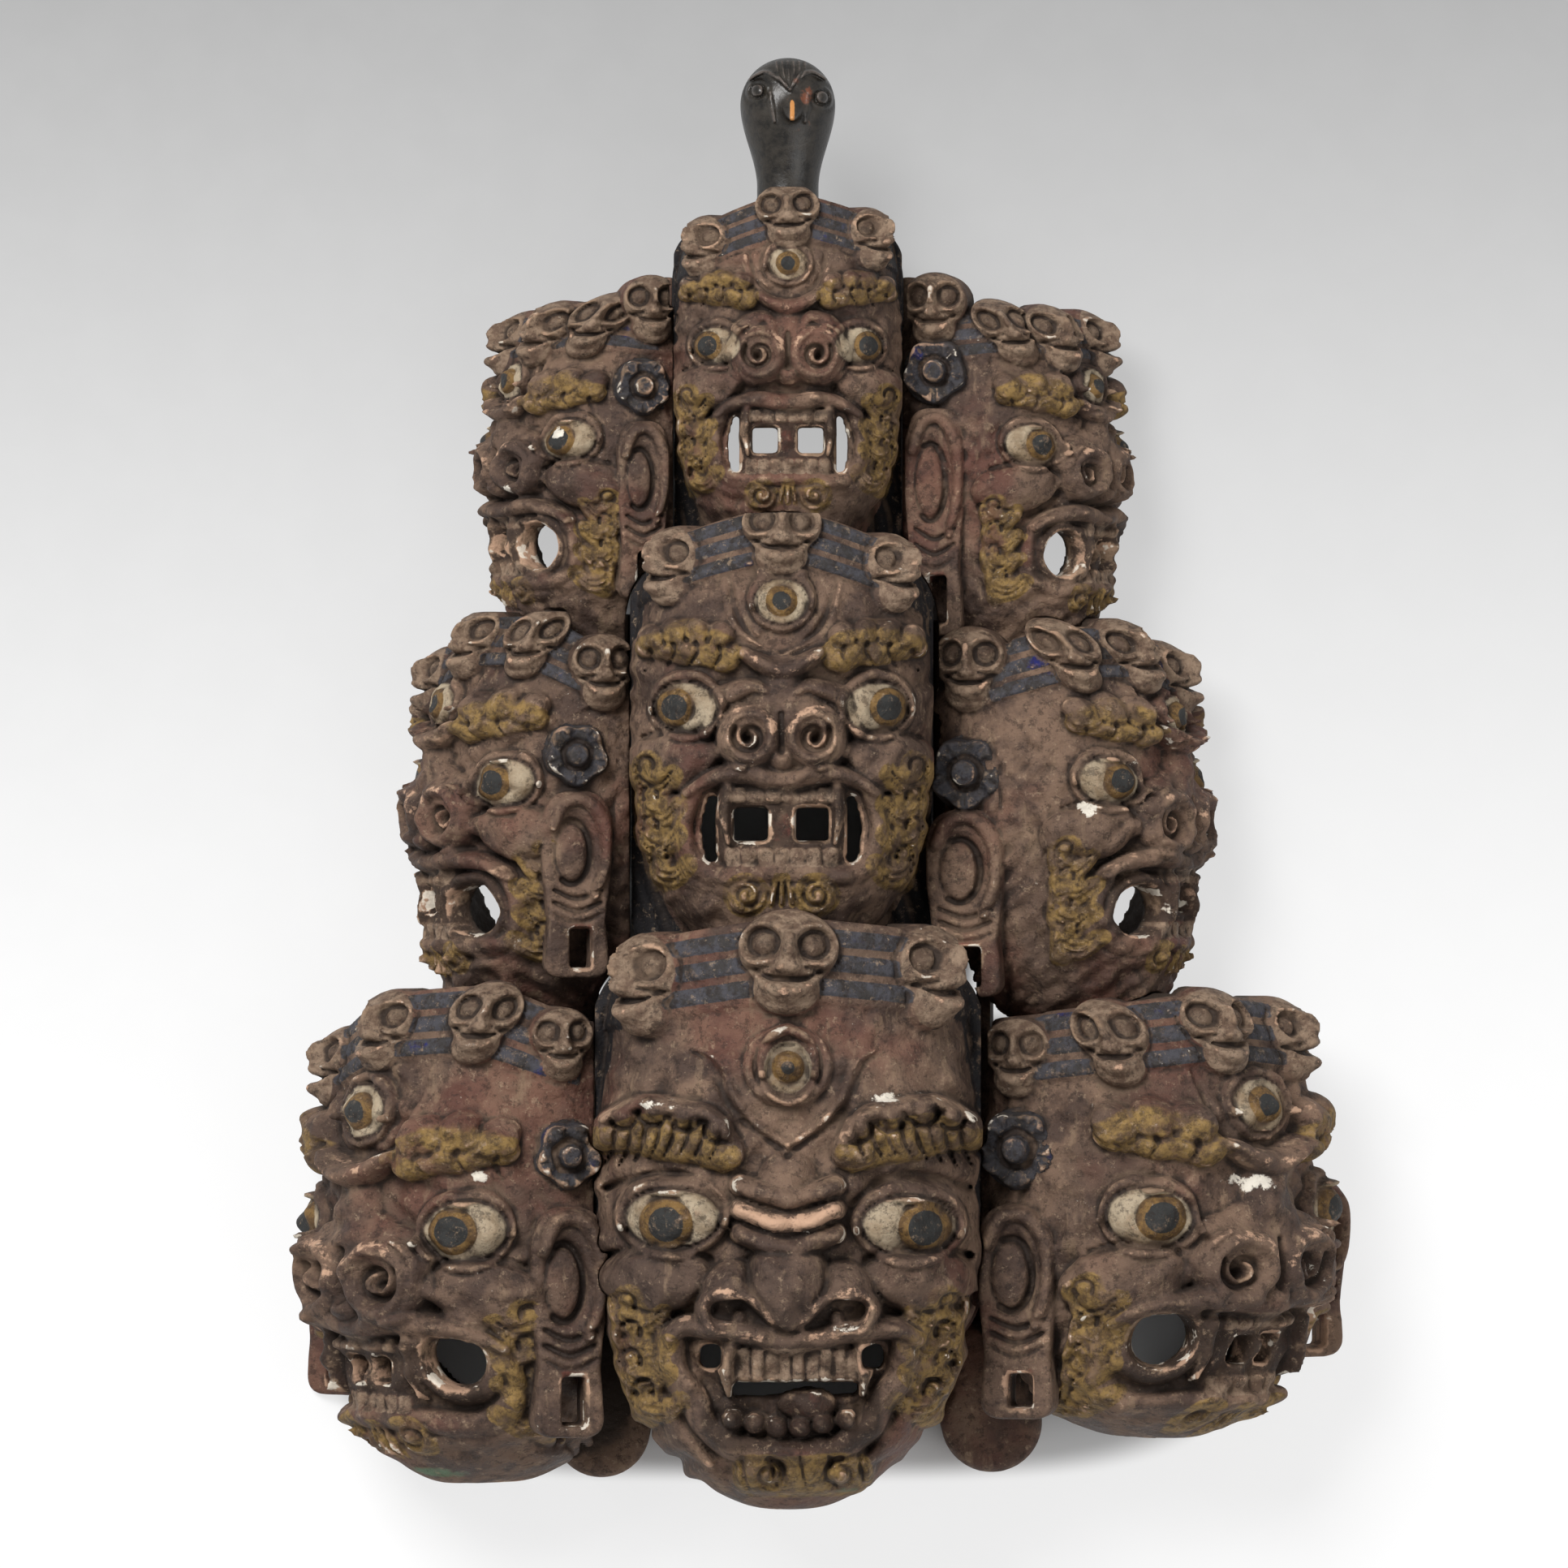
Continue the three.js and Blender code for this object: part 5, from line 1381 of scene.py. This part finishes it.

# %% [markdown]
# ## Old painted wood
# The heads were painted brown-red over a white ground, with gilded hair, blue slats and pale bones.
# Handling has rubbed the high places down to pink and white, soot and dust have settled in the hollows,
# and painted shade darkens them further; the whole surface has gone matt with soft greasy patches.

# %% Finish of the heads
def painted_wood():
    box = PaintBox("old_painted_wood")
    broad = box.noise(9, 4, 0.6)
    patches = box.noise(28, 6, 0.65)
    fine = box.noise(120, 8, 0.7)
    grit = box.noise(420, 6, 0.75)
    streaks = box.noise(60, 5, 0.6, (1.6, 0.35, 1.6))

    skin = box.mix(colour(72, 56, 48), colour(118, 95, 79), box.between(patches, 0.4, 0.6))
    skin = box.mix(skin, colour(104, 62, 51), box.between(broad, 0.5, 0.64, 0, 0.5))
    skin = box.mix(skin, colour(54, 43, 40), box.between(box.noise(14, 5, 0.6), 0.52, 0.66, 0, 0.6))
    skin = box.mix(skin, colour(138, 115, 93), box.between(streaks, 0.56, 0.7, 0, 0.55))
    base = box.mix(skin, colour(30, 28, 30), box.ragged("black", fine, 0.4))
    cobalt = box.mix(colour(68, 67, 72), colour(32, 36, 98), box.between(patches, 0.6, 0.68))
    cobalt = box.mix(cobalt, colour(50, 46, 43), box.between(fine, 0.42, 0.6, 0, 0.85))
    base = box.mix(base, cobalt, box.ragged("blue", fine, 0.8))
    gilt = box.mix(colour(138, 111, 66), colour(88, 69, 46), box.between(fine, 0.4, 0.62))
    gilt = box.mix(gilt, skin, box.between(box.noise(50, 5, 0.6), 0.5, 0.62, 0, 0.75))
    base = box.mix(base, gilt, box.ragged("gold", patches, 1.0, 0.35, 0.6))
    bone = box.mix(colour(136, 115, 96), colour(98, 78, 64), box.between(fine, 0.4, 0.6))
    base = box.mix(base, bone, box.ragged("bone", patches, 0.5))
    white = box.mix(colour(172, 156, 132), colour(124, 104, 80), box.between(patches, 0.42, 0.66))
    base = box.mix(base, white, box.ragged("eye_white", fine, 0.5, 0.4, 0.6))
    ring = box.mix(colour(122, 94, 54), colour(88, 66, 42), box.between(fine, 0.4, 0.6))
    base = box.mix(base, ring, box.ragged("iris", fine, 0.6, 0.4, 0.62))
    base = box.mix(base, colour(48, 48, 47), box.ragged("pupil", fine, 0.4, 0.42, 0.6))
    # the dark brown of the eye rims, and painted shade in the mouths, nostrils, skull sockets and under the
    # upper lip
    base = box.mix(base, colour(50, 38, 31), box.between(box.reading("mouth"), 0.2, 0.9, 0, 0.85))
    base = box.mix(base, colour(122, 58, 48), box.ragged("red", fine, 0.6, 0.4, 0.8))
    base = box.mix(base, colour(96, 118, 92), box.ragged("green", fine, 0.9, 0.4, 0.8))

    # fine mottling over everything
    base = box.mix(base, colour(38, 29, 25), box.between(box.noise(150, 8, 0.8), 0.51, 0.6, 0, 0.6))
    base = box.mix(base, colour(160, 137, 113), box.between(box.noise(185, 8, 0.8), 0.56, 0.64, 0, 0.5))

    # soot and painted shade darken the hollows and creases, and dust settles in them
    hollow = box.reading("hollow")
    edge = box.reading("edge")
    depth = box.sum(hollow, box.sum(broad, 1.2, "MULTIPLY"))
    base = box.mix(base, colour(52, 42, 35), box.between(depth, 0.4, 2.6, 0, 0.7))
    # painted shade: the creases go darker still
    base = box.mix(base, colour(42, 33, 28), box.between(edge, -0.08, -0.5, 0, 0.85))
    dust = box.sum(box.between(edge, -0.05, -0.3), box.between(patches, 0.5, 0.62), "MULTIPLY")
    base = box.mix(base, colour(122, 100, 82), box.sum(dust, 0.4, "MULTIPLY"))

    # rubbed high places, down to the pink under-paint and the white ground
    rub = box.sum(edge, box.sum(box.sum(box.noise(90, 8, 0.75), 0.5, "SUBTRACT"), 2.6, "MULTIPLY"))
    handled = box.between(box.noise(26, 5, 0.65), 0.47, 0.6)
    worn = box.sum(box.between(rub, 0.25, 0.85), box.between(handled, 0, 1, 0.05, 0.85), "MULTIPLY")
    base = box.mix(base, colour(142, 117, 95), worn)
    scuffed = box.sum(box.between(rub, 0.5, 0.85), box.between(patches, 0.5, 0.58), "MULTIPLY")
    base = box.mix(base, colour(190, 154, 128), box.sum(scuffed, 0.7, "MULTIPLY"))
    chips = box.sum(box.between(rub, 0.7, 0.95), box.between(box.noise(70, 3, 0.6), 0.56, 0.6), "MULTIPLY")
    base = box.mix(base, colour(222, 212, 196), box.sum(chips, 0.85, "MULTIPLY"))
    base = box.mix(base, colour(190, 154, 128), box.ragged("chip", fine, 1.6, 0.6, 0.8))
    base = box.mix(base, colour(222, 214, 200), box.ragged("flake", box.noise(90, 8, 0.75), 3.0, 0.5, 0.7))
    # painted shade: the inside of the shell and the walls of the holes go dark
    base = box.mix(base, colour(56, 45, 37), box.reading("inside"))
    specks = box.between(grit, 0.65, 0.72, 0, 0.65)
    base = box.mix(base, colour(180, 163, 144), specks)
    box.put(box.shader.inputs["Base Color"], base)
    box.put(box.shader.inputs["Roughness"], box.between(patches, 0.35, 0.65, 0.56, 0.85))
    box.shader.inputs["Specular IOR Level"].default_value = 0.25
    low = box.bump(box.noise(45, 3, 0.5), 0.8, 0.006)
    mid = box.bump(fine, 0.8, 0.003, low)
    box.put(box.shader.inputs["Normal"], box.bump(grit, 0.6, 0.001, mid))
    return box.material


old_paint = painted_wood()
print("finish:", old_paint.name)

# %% [markdown]
# ## Blackened wood
# The bird is nearly black, with a greyish bloom on its face and bare orange wood at the tip of its beak.

# %% Finish of the bird
def blackened_wood():
    box = PaintBox("blackened_wood")
    patches = box.noise(40, 6, 0.65)
    fine = box.noise(160, 8, 0.7)
    base = box.mix(colour(20, 18, 16), colour(34, 29, 24), box.between(patches, 0.4, 0.65))
    bloom = box.sum(box.reading("face"), box.between(fine, 0.35, 0.6), "MULTIPLY")
    base = box.mix(base, colour(60, 55, 48), box.sum(bloom, 0.4, "MULTIPLY"))
    rub = box.sum(box.reading("edge"), box.sum(box.sum(fine, 0.5, "SUBTRACT"), 0.8, "MULTIPLY"))
    base = box.mix(base, colour(96, 86, 80), box.between(rub, 0.18, 0.5, 0, 0.6))
    base = box.mix(base, colour(110, 62, 40), box.between(patches, 0.62, 0.7, 0, 0.8))
    base = box.mix(base, colour(176, 120, 66), box.ragged("beak_tip", fine, 0.7))
    box.put(box.shader.inputs["Base Color"], base)
    box.put(box.shader.inputs["Roughness"], box.between(patches, 0.3, 0.7, 0.26, 0.44))
    box.put(box.shader.inputs["Normal"], box.bump(fine, 0.3, 0.0008, box.bump(patches, 0.3, 0.002)))
    return box.material


soot = blackened_wood()
print("finish:", soot.name)

# %% [markdown]
# ## Put each piece on the frame
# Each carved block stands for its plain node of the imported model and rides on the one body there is.

# %% Frame
for name, piece in blocks.items():
    piece.data.materials.append(old_paint)
    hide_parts(name)
    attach(piece, "root")
bird.data.materials.append(soot)
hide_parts("bird_finial")
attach(bird, "root")
print("pieces on the frame:", len(blocks) + 1)

# %% [markdown]
# ## Floor, light and camera
# The mask lies on its back rim on a pale floor and the camera looks straight down on it with a long
# lens. One large soft light stands above the top left corner and a weaker one fills from the right.

# %% Floor
FLOOR_PAINTED_GLOW = 0.72            # share of the floor's brightness that is a painted glow of its own, which lights up its shadows
UNDER_HEADS = ((-0.02, -0.27, 0.24, 0.12), (-0.02, -0.005, 0.1, 0.16))     # where the painted glow is left off so the floor keeps its shade: middles, half sizes


def pale_floor():
    """A white table top with painted shade that greys it towards the far end, and a painted glow that fills
    its shadows except under the heads.
    """
    box = PaintBox("pale_floor")
    split = box.nodes.new("ShaderNodeSeparateXYZ")
    box.links.new(box.place, split.inputs[0])
    # painted shade: the floor darkens towards the far end
    shade = box.between(split.outputs["Y"], -0.35, 0.85)
    # painted glow: the floor gives off light of its own, left off in ovals under the heads
    painted_glow = FLOOR_PAINTED_GLOW
    for x, y, half_x, half_y in UNDER_HEADS:
        a = box.sum(box.sum(split.outputs["X"], x, "SUBTRACT"), half_x, "DIVIDE")
        b = box.sum(box.sum(split.outputs["Y"], y, "SUBTRACT"), half_y, "DIVIDE")
        away = box.sum(box.sum(a, 4.0, "POWER"), box.sum(b, 4.0, "POWER"))
        painted_glow = box.sum(box.between(away, 1.1, 1.8), painted_glow, "MULTIPLY")
    box.put(box.shader.inputs["Emission Color"], box.mix(colour(255, 255, 255), colour(133, 133, 133), shade))
    box.put(box.shader.inputs["Emission Strength"], painted_glow)
    tone = box.mix(colour(226, 226, 226), colour(115, 115, 115), shade)
    box.put(box.shader.inputs["Base Color"], box.mix(tone, colour(0, 0, 0), painted_glow))
    box.put(box.shader.inputs["Roughness"], box.between(box.noise(30), 0.3, 0.7, 0.75, 0.85))
    return box.material


bpy.ops.mesh.primitive_plane_add(size=6, location=(0, 0, -0.0005))
floor = bpy.context.object
floor.name = "floor"
floor.data.materials.append(pale_floor())
print("floor:", floor.name)

# %% Light and camera
def soft_light(name, place, size, power):
    bpy.ops.object.light_add(type="AREA", location=place)
    light = bpy.context.object
    light.name = name
    light.data.size = size
    light.data.energy = power
    light.rotation_euler = (Vector((0, 0, 0.1)) - Vector(place)).to_track_quat("-Z", "Y").to_euler()


soft_light("key", (-1.5, 2.1, 3.6), 1.8, 225)
soft_light("fill", (1.5, -0.6, 2.4), 2.0, 22)
bpy.context.scene.view_settings.view_transform = "Standard"
world = bpy.data.worlds.new("pale room")
world.use_nodes = True
world.node_tree.nodes["Background"].inputs["Color"].default_value = (1, 1, 1, 1)
world.node_tree.nodes["Background"].inputs["Strength"].default_value = 0.42
bpy.context.scene.world = world

SPAN = 0.889
DISTANCE = 5.0
SUBJECT = 0.12
bpy.ops.object.camera_add(location=(-0.022, -0.002, DISTANCE + SUBJECT), rotation=(0, 0, 0))
camera = bpy.context.object
camera.data.sensor_width = 36
camera.data.lens = 36 * DISTANCE / SPAN
camera.data.clip_end = 50
bpy.context.scene.camera = camera
print("camera lens", round(camera.data.lens, 1), "mm")
